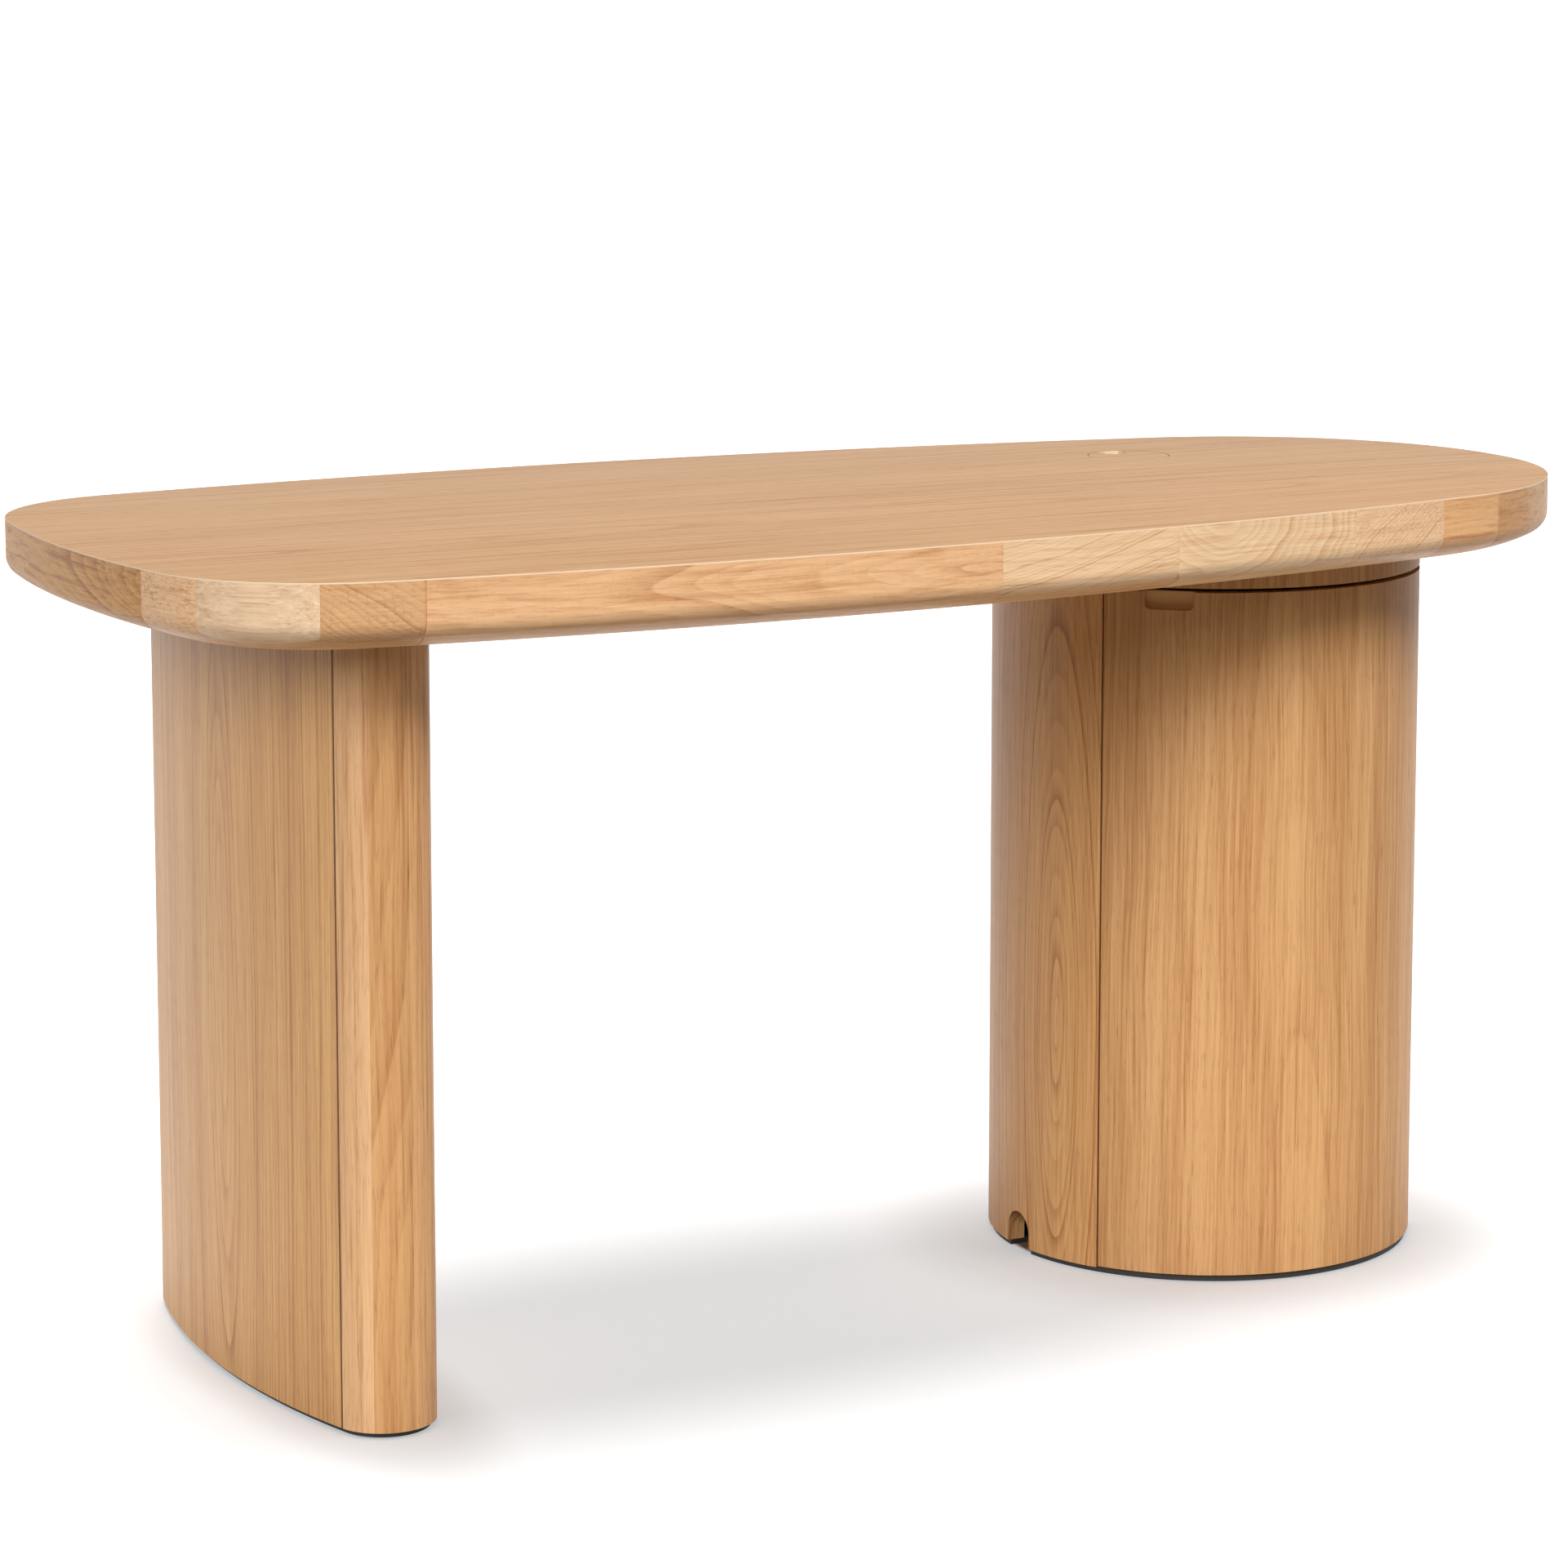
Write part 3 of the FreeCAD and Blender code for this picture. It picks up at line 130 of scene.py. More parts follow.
def buildOakWood():
    # growth rings round a heart line, bands, streaks, fibres, pores and rays, in grain space:
    # X runs along the grain, Y out of the face, Z across
    values = {
        "Ring Width": 0.004, "Ring Sharpness": 1.5, "Heart Depth": -0.05, "Heart Across": 0.0,
        "Slope Depth": 0.0, "Slope Across": 0.0, "Wander": 0.01, "Wander Scale": 6.0, "Seed": 0.0,
        "Ring Strength": 0.5, "Band Strength": 0.5, "Streak Strength": 0.6, "Fibre Strength": 0.5,
        "Pore Strength": 0.4, "Ray Strength": 0.0,
    }
    tree, given, result = startGroup("oakWood", [
        ("Place", "vector", (0, 0, 0)),
        ("Pale Wood", "colour", (0.6, 0.4, 0.2, 1)),
        ("Dark Wood", "colour", (0.3, 0.2, 0.1, 1)),
        ("Pore Colour", "colour", (0.2, 0.1, 0.05, 1)),
        *[(label, "value", start) for label, start in values.items()],
    ], [("Color", "colour"), ("Roughness", "value"), ("Height", "value")])
    shift = put(tree, "ShaderNodeCombineXYZ", {
        index: calc(tree, "MULTIPLY", given["Seed"], step)
        for index, step in enumerate(grainMix["seedSteps"])}).outputs[0]
    seeded = put(tree, "ShaderNodeVectorMath", {0: given["Place"], 1: shift}, operation="ADD").outputs[0]
    # slow wander of the rings
    sway = figure(tree, seeded, "sway", "Color", given["Wander Scale"])
    swayParts = put(tree, "ShaderNodeSeparateColor", {0: sway}).outputs
    parts = put(tree, "ShaderNodeSeparateXYZ", {0: given["Place"]}).outputs
    aways = []
    for index, heart, slope in ((1, "Heart Depth", "Slope Depth"), (2, "Heart Across", "Slope Across")):
        away = calc(tree, "SUBTRACT", parts[index], given[heart])
        away = calc(tree, "MULTIPLY_ADD", parts[0], given[slope], away)
        swing = calc(tree, "SUBTRACT", swayParts[index - 1], 0.5)
        away = calc(tree, "MULTIPLY_ADD", swing, given["Wander"], away)
        aways.append(calc(tree, "MULTIPLY", away, away))
    radius = calc(tree, "SQRT", calc(tree, "ADD", *aways))
    phase = calc(tree, "DIVIDE", radius, given["Ring Width"])
    pace = calc(tree, "MULTIPLY", phase, grainMix["ringPace"])
    uneven = put(tree, "ShaderNodeTexNoise", {"W": pace, "Scale": 1.0, "Detail": 1.0},
                 noise_dimensions="1D").outputs[0]
    phase = calc(tree, "MULTIPLY_ADD", uneven, grainMix["ringStretch"], phase)
    ring = calc(tree, "FRACT", phase)
    ringId = calc(tree, "ADD", calc(tree, "FLOOR", phase), given["Seed"])
    ringTone = put(tree, "ShaderNodeTexWhiteNoise", {"W": ringId}, noise_dimensions="1D").outputs["Value"]
    fall = calc(tree, "POWER", calc(tree, "SUBTRACT", 1.0, ring), given["Ring Sharpness"])
    early = calc(tree, "MULTIPLY", ramped(tree, ring, *grainMix["earlyEdge"]), fall)
    quiet = grainMix["quietRing"]
    ringTone = calc(tree, "MULTIPLY_ADD", calc(tree, "MULTIPLY", ringTone, ringTone), 1 - quiet, quiet)
    early = calc(tree, "MULTIPLY", early, ringTone)
    # the grain lines wave gently from side to side
    wave = calc(tree, "SUBTRACT", figure(tree, seeded, "wave"), 0.5)
    wave = calc(tree, "MULTIPLY", wave, grainMix["waveReach"])
    sideways = put(tree, "ShaderNodeCombineXYZ", {2: wave}).outputs[0]
    seeded = put(tree, "ShaderNodeVectorMath", {0: seeded, 1: sideways}, operation="ADD").outputs[0]
    # texture along the grain, wide to fine
    band = figure(tree, seeded, "band")
    streak = ramped(tree, figure(tree, seeded, "streak"), *grainMix["streakLimits"])
    fibre = figure(tree, seeded, "fibre")
    pores = ramped(tree, figure(tree, seeded, "pore"), *grainMix["poreLimits"])
    few = grainMix["poresBetweenRings"]
    pores = calc(tree, "MULTIPLY", pores, calc(tree, "MULTIPLY_ADD", early, 1 - few, few))
    # rays and hair checks: a broken, nearly square net of thin lines
    net = put(tree, "ShaderNodeTexVoronoi", {
        "Vector": scaled(tree, seeded, grainMix["netScale"]), "Scale": 1.0,
        "Randomness": grainMix["netOrder"]}, feature="DISTANCE_TO_EDGE").outputs["Distance"]
    net = ramped(tree, net, *grainMix["netLine"], 1.0, 0.0)
    broken = ramped(tree, figure(tree, seeded, "netBreaks"), *grainMix["netBreakLimits"])
    rays = calc(tree, "MULTIPLY", net, broken)
    share = calc(tree, "MULTIPLY_ADD", early, given["Ring Strength"], grainMix["ground"])
    for source, kind, strength in ((band, "band", "Band Strength"), (streak, "streak", "Streak Strength"),
                                   (fibre, "fibre", "Fibre Strength"), (rays, "rays", "Ray Strength")):
        above = calc(tree, "SUBTRACT", source, grainMiddle[kind])
        share = calc(tree, "MULTIPLY_ADD", above, given[strength], share)
    share = calc(tree, "MAXIMUM", share, 0.0)
    colour = blendColour(tree, calc(tree, "MINIMUM", share, 1.0), given["Pale Wood"], given["Dark Wood"])
    colour = blendColour(tree, calc(tree, "MULTIPLY", pores, given["Pore Strength"]), colour,
                         given["Pore Colour"])
    tree.links.new(colour, result.inputs["Color"])
    rough = calc(tree, "MULTIPLY_ADD", fibre, grainMix["fibreRoughness"], grainMix["roughness"])
    rough = calc(tree, "MULTIPLY_ADD", pores, grainMix["poreRoughness"], rough)
    tree.links.new(rough, result.inputs["Roughness"])
    height = calc(tree, "MULTIPLY", fibre, grainMix["fibreHeight"])
    height = calc(tree, "MULTIPLY_ADD", pores, -1.0, height)
    tree.links.new(height, result.inputs["Height"])
    return tree


def buildBentGrain():
    # unrolls a wall that is bent round an upright axis: X runs up, Y is depth from the face, Z runs round
    tree, given, result = startGroup("bentGrain", [
        ("Object Place", "vector", (0, 0, 0)), ("Axis X", "value", 0.0), ("Axis Y", "value", 0.0),
        ("Radius", "value", 0.2), ("Turn", "value", 0.0)], [("Place", "vector")])
    parts = put(tree, "ShaderNodeSeparateXYZ", {0: given["Object Place"]}).outputs
    x = calc(tree, "SUBTRACT", parts[0], given["Axis X"])
    y = calc(tree, "SUBTRACT", parts[1], given["Axis Y"])
    turned = calc(tree, "SUBTRACT", calc(tree, "ARCTAN2", y, x), given["Turn"])
    turned = calc(tree, "WRAP", turned, math.pi, -math.pi)
    squares = calc(tree, "MULTIPLY_ADD", y, y, calc(tree, "MULTIPLY", x, x))
    out = calc(tree, "SQRT", squares)
    place = put(tree, "ShaderNodeCombineXYZ", {
        0: parts[2], 1: calc(tree, "SUBTRACT", out, given["Radius"]),
        2: calc(tree, "MULTIPLY", turned, given["Radius"])}).outputs[0]
    tree.links.new(place, result.inputs["Place"])
    return tree


oakWood = buildOakWood()
bentGrain = buildBentGrain()
woodLabels = {"ringWidth": "Ring Width", "sharp": "Ring Sharpness", "heartDepth": "Heart Depth",
              "heartAcross": "Heart Across", "slopeDepth": "Slope Depth", "slopeAcross": "Slope Across",
              "wander": "Wander", "wanderScale": "Wander Scale", "seed": "Seed", "rings": "Ring Strength",
              "bands": "Band Strength", "streaks": "Streak Strength", "fibres": "Fibre Strength",
              "pores": "Pore Strength", "rays": "Ray Strength"}
# palest wood, porous dark wood and open pores of a board, against its middle tone, per channel
paleShare = np.array([1.05, 1.07, 1.10])
darkShare = np.array([0.78, 0.65, 0.51])
poreShare = np.array([0.58, 0.47, 0.36])
palest = 252    # no wood is lighter than this on screen
# gloss of lacquered wood and the relief of its grain
lacquer = {"gloss": 0.35, "reliefStrength": 0.5, "reliefDepth": 0.00012}


def placeWood(tree, place, wood):
    # one copy of the oak group with a board's own values
    node = put(tree, "ShaderNodeGroup", node_tree=oakWood)
    tree.links.new(place, node.inputs["Place"])
    middle = np.array(wood["middle"], float)
    for label, shares in (("Pale Wood", paleShare), ("Dark Wood", darkShare), ("Pore Colour", poreShare)):
        node.inputs[label].default_value = tone(*np.minimum(middle * shares, palest))
    for key, label in woodLabels.items():
        if key in wood:
            node.inputs[label].default_value = wood[key]
    return node.outputs


def finishWood(material, colour, roughness, height, wood):
    tree = material.node_tree
    shader = tree.nodes["Principled BSDF"]
    tree.links.new(colour, shader.inputs["Base Color"])
    tree.links.new(roughness, shader.inputs["Roughness"])
    shader.inputs["Specular IOR Level"].default_value = wood.get("gloss", lacquer["gloss"])
    relief = put(tree, "ShaderNodeBump", {"Height": height, "Strength": lacquer["reliefStrength"],
                                          "Distance": lacquer["reliefDepth"]})
    tree.links.new(relief.outputs[0], shader.inputs["Normal"])
    return material


def newMaterial(name):
    material = bpy.data.materials.new(name)
    material.use_nodes = True
    return material


def objectPlace(tree):
    return put(tree, "ShaderNodeTexCoord").outputs["Object"]


def turnedGrain(tree, place, spot, grain, outward):
    # dot products with the grain, outward and across directions, from a spot
    fromSpot = put(tree, "ShaderNodeVectorMath", {0: place, 1: spot}, operation="SUBTRACT").outputs[0]
    grain, outward = np.array(grain, float), np.array(outward, float)
    sides = []
    for direction in (grain, outward, np.cross(grain, outward)):
        sides.append(put(tree, "ShaderNodeVectorMath", {0: fromSpot, 1: tuple(direction.tolist())},
                         operation="DOT_PRODUCT").outputs["Value"])
    return put(tree, "ShaderNodeCombineXYZ", dict(enumerate(sides))).outputs[0]


def straightOak(name, wood, grain=(0, 0, 1), outward=(0, -1, 0), spot=(0, 0, 0)):
    material = newMaterial(name)
    tree = material.node_tree
    place = turnedGrain(tree, objectPlace(tree), tuple(spot), grain, outward)
    out = placeWood(tree, place, wood)
    return finishWood(material, out["Color"], out["Roughness"], out["Height"], wood)


def bentOak(name, wood, axis, radius, turn):
    material = newMaterial(name)
    tree = material.node_tree
    bent = put(tree, "ShaderNodeGroup", node_tree=bentGrain)
    tree.links.new(objectPlace(tree), bent.inputs["Object Place"])
    for label, value in (("Axis X", axis[0]), ("Axis Y", axis[1]), ("Radius", radius), ("Turn", turn)):
        bent.inputs[label].default_value = value
    out = placeWood(tree, bent.outputs[0], wood)
    colour = out["Color"]
    if "hollow" in wood:        # flat tone where the wall is cut in from its face, between two depths: painted shade in the leg's groove, painted light in the door's finger pull
        shallow, deep, hollowTone = wood["hollow"]
        depth = put(tree, "ShaderNodeSeparateXYZ", {0: bent.outputs[0]}).outputs[1]
        cut = calc(tree, "MULTIPLY", calc(tree, "LESS_THAN", depth, -shallow),
                   calc(tree, "GREATER_THAN", depth, -deep))
        colour = blendColour(tree, cut, colour, tone(*hollowTone))
    return finishWood(material, colour, out["Roughness"], out["Height"], wood)


# outline of the top, the same five arcs as the solids have

topShape = {    # the width is a hair under the solids' 0.705, so that nothing stands out of their box
    "length": 1.5, "width": 0.70498, "height": 0.75, "thickness": 0.063, "veneer": 0.0012,
    "widestShare": -0.1127, "dropShare": 0.1858, "leftEndShare": 1.691, "leftTip": 9.08,
    "rightEndShare": 0.7291, "rightTip": 1.22,
    "lippingWidth": 0.070, "roundWidth": 0.062, "roundHeight": 0.028, "noseShare": 0.6,
    "portSpot": (0.420, 0.15199), "portRadius": 0.0408,
    "runPoints": 600,    # points that measure a run along the outline
}


def outlineArcs(shape):
    # centre x, centre y, radius, start and end bearing of each arc of the back half
    half, wide = shape["length"] / 2, shape["width"]
    widest = shape["widestShare"] * shape["length"]
    drop = shape["dropShare"] * wide
    side = ((half - widest) ** 2 + drop ** 2) / (2 * drop)
    sideCentre = np.array([widest, wide / 2 - side])
    ends = []
    for sign, share, tip in ((1, "rightEndShare", "rightTip"), (-1, "leftEndShare", "leftTip")):
        radius = shape[share] * wide
        centre = np.array([sign * (half - radius), 0.0])
        bearing = math.radians(shape[tip] if sign > 0 else 180 - shape[tip])
        towards = np.array([math.cos(bearing), math.sin(bearing)])
        away = centre - sideCentre
        spare = side - radius
        reach = (spare ** 2 - away @ away) / (2 * (away @ towards - spare))
        corner = centre + reach * towards
        meet = math.atan2(corner[1] - sideCentre[1], corner[0] - sideCentre[0])
        ends.append((centre, radius, bearing, corner, radius - reach, meet))
    right, left = ends
    return np.array([
        (*right[0], right[1], 0.0, right[2]),
        (*right[3], right[4], right[2], right[5]),
        (*sideCentre, side, right[5], left[5]),
        (*left[3], left[4], left[5], left[2]),
        (*left[0], left[1], left[2], math.pi),
    ])


arcs = outlineArcs(topShape)
print("corner radii, mm:", np.round(arcs[[1, 3], 2] * 1000, 1).tolist())


def onOutline(stations, front=False):
    # points and outward directions at stations: 2.5 is halfway along the third arc
    stations = np.asarray(stations, float)
    index = np.clip(np.floor(stations).astype(int), 0, len(arcs) - 1)
    x, y, radius, start, end = arcs[index].T
    bearing = start + (stations - index) * (end - start)
    away = np.stack([np.cos(bearing), np.sin(bearing)], 1)
    points = np.stack([x, y], 1) + radius[:, None] * away
    if front:
        points, away = points * [1, -1], away * [1, -1]
    return points, away


def evenStations(start, end, step):
    # stations a step apart along the outline, and the length of the run
    dense = np.linspace(start, end, topShape["runPoints"])
    points, _ = onOutline(dense)
    run = np.concatenate([[0], np.cumsum(np.linalg.norm(np.diff(points, axis=0), axis=1))])
    count = max(3, int(round(run[-1] / step)) + 1)
    return np.interp(np.linspace(0, run[-1], count), run, dense), run[-1]


# meshes

sharpEdge = 40    # degrees between faces, from which an edge shades sharp


def newPiece(name, places, faces, material, body, *stands):
    places = np.asarray(places, float)
    quads = [face for face in faces if len(face) == 4]
    corners = places[np.array(quads)]
    signed = np.einsum("ij,ij->i", corners[:, 0], np.cross(corners[:, 1], corners[:, 2])).sum() \
        + np.einsum("ij,ij->i", corners[:, 0], np.cross(corners[:, 2], corners[:, 3])).sum()
    if signed < 0:      # faces look outwards when the enclosed volume is positive
        faces = [face[::-1] for face in faces]
    mesh = bpy.data.meshes.new(name)
    mesh.from_pydata(places.tolist(), [], faces)
    mesh.validate()
    mesh.polygons.foreach_set("use_smooth", np.ones(len(mesh.polygons), bool))
    mesh.set_sharp_from_angle(angle=math.radians(sharpEdge))
    mesh.materials.append(material)
    piece = bpy.data.objects.new(name, mesh)
    bpy.context.scene.collection.objects.link(piece)
    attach(piece, body)
    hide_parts(*stands)
    return piece


def gridFaces(rows, columns, closeRows=False, closeColumns=False):
    # quads of a grid of points, row by row
    r = np.arange(rows if closeRows else rows - 1)
    c = np.arange(columns if closeColumns else columns - 1)
    r, c = [part.ravel() for part in np.meshgrid(r, c, indexing="ij")]
    nextRow, nextColumn = (r + 1) % rows, (c + 1) % columns
    return np.stack([r * columns + c, r * columns + nextColumn,
                     nextRow * columns + nextColumn, nextRow * columns + c], 1).tolist()


# edge of the top: ten blocks at the front, five at the back and the left end piece

lippingRun = {
    "step": 0.006,       # spacing of the rings along a block
    "facePoints": 5, "nosePoints": 12, "bellyPoints": 9,
    "seam": 0.00025,     # eased edge of a block at its seams
    "openSeam": 0.0010,  # the same where a seam shows as a dark line
    "easeTurns": (0, 35, 65, 90),
    "openAt": (("front_7", "last"), ("front_8", "first"), ("front_10", "last"), ("left_end", "first")),
    "leftEndSpot": (-0.74, 0, 0.72),
}
lippingSeams = {
    "front": [0, 1.73, 1.90, 2.036, 2.137, 2.323, 2.491, 2.964, 3.228, 3.755, 4.14],
    "back": [0, 1.70, 2.10, 2.45, 2.964, 3.72],
}
# faceWood is the wood of an outer layer, faceLayer thick, where a block is glued up from two
lippingWood = {
    "front_1": {"middle": (206, 160, 112), "ringWidth": 0.0032, "heartDepth": -0.3, "heartAcross": 0.12,
                "wander": 0.012, "rings": 0.3, "seed": 11.0},
    "front_2": {"middle": (202, 150, 97), "ringWidth": 0.0022, "heartDepth": -0.06, "heartAcross": 0.03,
                "rings": 0.35, "rays": 0.3, "seed": 12.0},
    "front_3": {"middle": (222, 169, 117), "ringWidth": 0.0028, "heartDepth": -0.2, "heartAcross": 0.1,
                "rings": 0.25, "rays": 0.15, "seed": 13.0},
    "front_4": {"middle": (242, 201, 158), "ringWidth": 0.0034, "sharp": 1.5, "heartDepth": -0.02,
                "heartAcross": 0.05, "slopeAcross": 0.7, "wander": 0.026, "wanderScale": 18.0,
                "rings": 0.75, "rays": 0.35, "bands": 0.2, "streaks": 0.2, "seed": 14.0},
    "front_5": {"middle": (254, 208, 165), "ringWidth": 0.0086, "sharp": 1.3, "heartDepth": 0.045,
                "heartAcross": 0.055, "slopeDepth": 0.9, "wander": 0.042, "wanderScale": 17.0,
                "rings": 0.7, "fibres": 0.9, "bands": 0.2, "streaks": 0.2, "seed": 15.0},
    "front_6": {"middle": (226, 178, 128), "ringWidth": 0.0040, "heartDepth": -0.05, "slopeDepth": 0.3,
                "wander": 0.03, "rings": 0.5, "seed": 16.0, "faceLayer": 0.009,
                "faceWood": {"middle": (243, 203, 160), "ringWidth": 0.0030, "heartDepth": -0.01,
                             "heartAcross": 0.25, "slopeAcross": 0.28, "wander": 0.014, "wanderScale": 30.0,
                             "rings": 0.7, "streaks": 0.35, "fibres": 0.7, "bands": 0.2, "seed": 26.0}},
    "front_7": {"middle": (236, 187, 138), "ringWidth": 0.0060, "sharp": 1.4, "heartDepth": -0.035,
                "heartAcross": 0.012, "slopeDepth": 0.10, "wander": 0.05, "wanderScale": 9.0,
                "rings": 0.55, "rays": 0.12, "bands": 0.5, "streaks": 0.4, "seed": 17.0},
    "front_8": {"middle": (220, 172, 123), "ringWidth": 0.0042, "sharp": 1.6, "heartDepth": -0.05,
                "heartAcross": -0.03, "slopeDepth": -0.5, "wander": 0.02, "rings": 0.75, "rays": 0.3,
                "streaks": 0.3, "seed": 18.0},
    "front_9": {"middle": (224, 176, 130), "ringWidth": 0.0040, "heartDepth": -0.05, "heartAcross": 0.05,
                "slopeAcross": 0.15, "wander": 0.02, "rings": 0.5, "seed": 19.0, "faceLayer": 0.0135,
                "faceWood": {"middle": (238, 204, 166), "ringWidth": 0.0050, "heartDepth": -0.25,
                             "heartAcross": 0.1, "rings": 0.2, "streaks": 0.3, "fibres": 0.9,
                             "rays": 0.12, "seed": 29.0}},
    "front_10": {"middle": (244, 195, 150), "ringWidth": 0.0032, "heartDepth": -0.1, "heartAcross": 0.05,
                 "rings": 0.3, "rays": 0.42, "streaks": 0.3, "fibres": 0.8, "seed": 20.0},
    "back_1": {"middle": (214, 170, 126), "heartDepth": -0.2, "heartAcross": 0.1, "rings": 0.4,
               "seed": 21.0},
    "back_2": {"middle": (222, 182, 138), "heartDepth": -0.1, "heartAcross": 0.05, "rings": 0.4,
               "seed": 22.0},
    "back_3": {"middle": (208, 165, 121), "heartDepth": -0.03, "wander": 0.02, "rings": 0.45,
               "seed": 23.0},
    "back_4": {"middle": (220, 176, 130), "heartDepth": -0.06, "heartAcross": 0.02, "rings": 0.4,
               "seed": 24.0},
    "back_5": {"middle": (216, 172, 128), "heartDepth": -0.2, "heartAcross": 0.1, "rings": 0.35,
               "seed": 25.0},
    "left_end": {"middle": (205, 151, 86), "ringWidth": 0.0048, "sharp": 1.3, "heartDepth": -0.03,
                 "heartAcross": 0.03, "slopeAcross": -0.06, "slopeDepth": 0.1, "wander": 0.05,
                 "wanderScale": 6.0, "rings": 1.1, "rays": 0.25, "streaks": 0.9, "fibres": 0.7,
                 "pores": 0.7, "seed": 27.0},
}


def lippingProfile(shape, run):
    # inset from the outline and rise from the underside, round the section, with outward directions
    width, height = shape["roundWidth"], shape["roundHeight"]
    top = shape["thickness"] - shape["veneer"]
    nose = height * shape["noseShare"]
    belly = (width ** 2 + height ** 2 - 2 * width * nose) / (2 * (height - nose))
    noseCentre, bellyCentre = np.array([nose, height]), np.array([width, belly])
    towards = noseCentre - bellyCentre
    joint = math.atan2(towards[1], towards[0]) % (2 * math.pi)
    noseTurn = np.linspace(math.pi, joint, run["nosePoints"])
    bellyTurn = np.linspace(joint, 1.5 * math.pi, run["bellyPoints"])[1:]
    face = np.stack([np.zeros(run["facePoints"]), np.linspace(top, height, run["facePoints"])], 1)[:-1]
    noseAway = np.stack([np.cos(noseTurn), np.sin(noseTurn)], 1)
    bellyAway = np.stack([np.cos(bellyTurn), np.sin(bellyTurn)], 1)
    inside = np.array([[shape["lippingWidth"], 0], [shape["lippingWidth"], top / 2],
                       [shape["lippingWidth"], top], [shape["lippingWidth"] / 2, top]])
    points = np.vstack([face, noseCentre + nose * noseAway, bellyCentre + belly * bellyAway, inside])
    outward = np.vstack([np.tile([-1.0, 0.0], (len(face), 1)), noseAway, bellyAway, np.zeros((4, 2))])
    return points, outward


def sweepLipping(stations, seamDepths, front):
    # the section carried along the outline; a seam depth draws a ring in along its outward directions
    points, outward = lippingProfile(topShape, lippingRun)
    path, away = onOutline(stations, front)
    section = points[None] - outward[None] * np.asarray(seamDepths)[:, None, None]
    underside = topShape["height"] - topShape["thickness"]
    places = np.empty((len(stations), len(points), 3))
    places[..., :2] = path[:, None, :] - away[:, None, :] * section[..., :1]
    places[..., 2] = underside + section[..., 1]
    return places


def easedEnds(key, stations, length, first=True, last=True):
    # extra rings at a seam follow a quarter round
    perMetre = (stations[-1] - stations[0]) / length
    turn = np.radians(lippingRun["easeTurns"])
    ends = []
    for side in ("first", "last"):
        seam = lippingRun["openSeam" if (key, side) in lippingRun["openAt"] else "seam"]
        ends.append((seam * (1 - np.cos(turn)) * perMetre, seam * (1 - np.sin(turn))))
    body = stations[1:-1]
    start = (stations[0] + ends[0][0], ends[0][1]) if first else (stations[:1], [0])
    end = (stations[-1] - ends[1][0][::-1], ends[1][1][::-1]) if last else (stations[-1:], [0])
    depths = np.concatenate([start[1], np.zeros(len(body)), end[1]])
    return np.concatenate([start[0], body, end[0]]), depths


def blockFrame(start, end, front):
    # middle of a block's chord, the chord's direction and the outward direction
    points, _ = onOutline([start, (start + end) / 2, end], front)
    chord = points[2] - points[0]
    chord /= np.linalg.norm(chord)
    outward = np.array([chord[1], -chord[0]])
    if outward @ (points[1] - (points[0] + points[2]) / 2) < 0:
        outward = -outward
    height = topShape["height"] - topShape["thickness"] / 2
    return (*points[1].tolist(), height), (*chord, 0.0), (*outward, 0.0)


def lippingMaterial(name, wood, spot, grain, outward):
    if "faceWood" not in wood:
        return straightOak(name, wood, grain, outward, spot)
    material = newMaterial(name)
    tree = material.node_tree
    place = turnedGrain(tree, objectPlace(tree), tuple(spot), grain, outward)
    inner = placeWood(tree, place, wood)
    face = placeWood(tree, place, {**wood, **wood["faceWood"]})
    depth = put(tree, "ShaderNodeSeparateXYZ", {0: place}).outputs[1]
    mask = calc(tree, "GREATER_THAN", depth, -wood["faceLayer"])
    mixed = [put(tree, "ShaderNodeMix", {0: mask, 2: inner[key], 3: face[key]}).outputs[0]
             for key in ("Roughness", "Height")]
    colour = blendColour(tree, mask, inner["Color"], face["Color"])
    return finishWood(material, colour, *mixed, wood)


def buildLipping():
    profileCount = len(lippingProfile(topShape, lippingRun)[0])
    around = np.arange(profileCount)
    made = []
    for side, seams in lippingSeams.items():
        front = side == "front"
        for number, (start, end) in enumerate(zip(seams[:-1], seams[1:]), 1):
            key = "%s_%d" % (side, number)
            stations, length = evenStations(start, end, lippingRun["step"])
            stations, depths = easedEnds(key, stations, length)
            places = sweepLipping(stations, depths, front)
            spot, grain, outward = blockFrame(start, end, front)
            material = lippingMaterial("oakBlock_" + key, lippingWood[key], spot, grain, outward)
            made.append((key, places, material))
    # the left end piece wraps both halves: its grain runs along Y
    halves = []
    for side in ("front", "back"):
        stations, length = evenStations(lippingSeams[side][-1], 5.0, lippingRun["step"])
        stations, depths = easedEnds("left_end", stations, length, last=False)
        halves.append(sweepLipping(stations, depths, side == "front"))
    places = np.concatenate([halves[0], halves[1][::-1][1:]])
    material = straightOak("oakBlock_left_end", lippingWood["left_end"], (0, 1, 0), (-1, 0, 0),
                           lippingRun["leftEndSpot"])
    made.append(("left_end", places, material))
    for key, places, material in made:
        faces = gridFaces(len(places), profileCount, closeColumns=True)
        caps = [around.tolist()[::-1], (len(places) * profileCount - profileCount + around).tolist()]
        piece = newPiece("topEdge_" + key, places.reshape(-1, 3), faces + caps, material,
                         "desk", "lipping_" + key)
    print("edge blocks:", len(made))


buildLipping()


# face veneer of the top

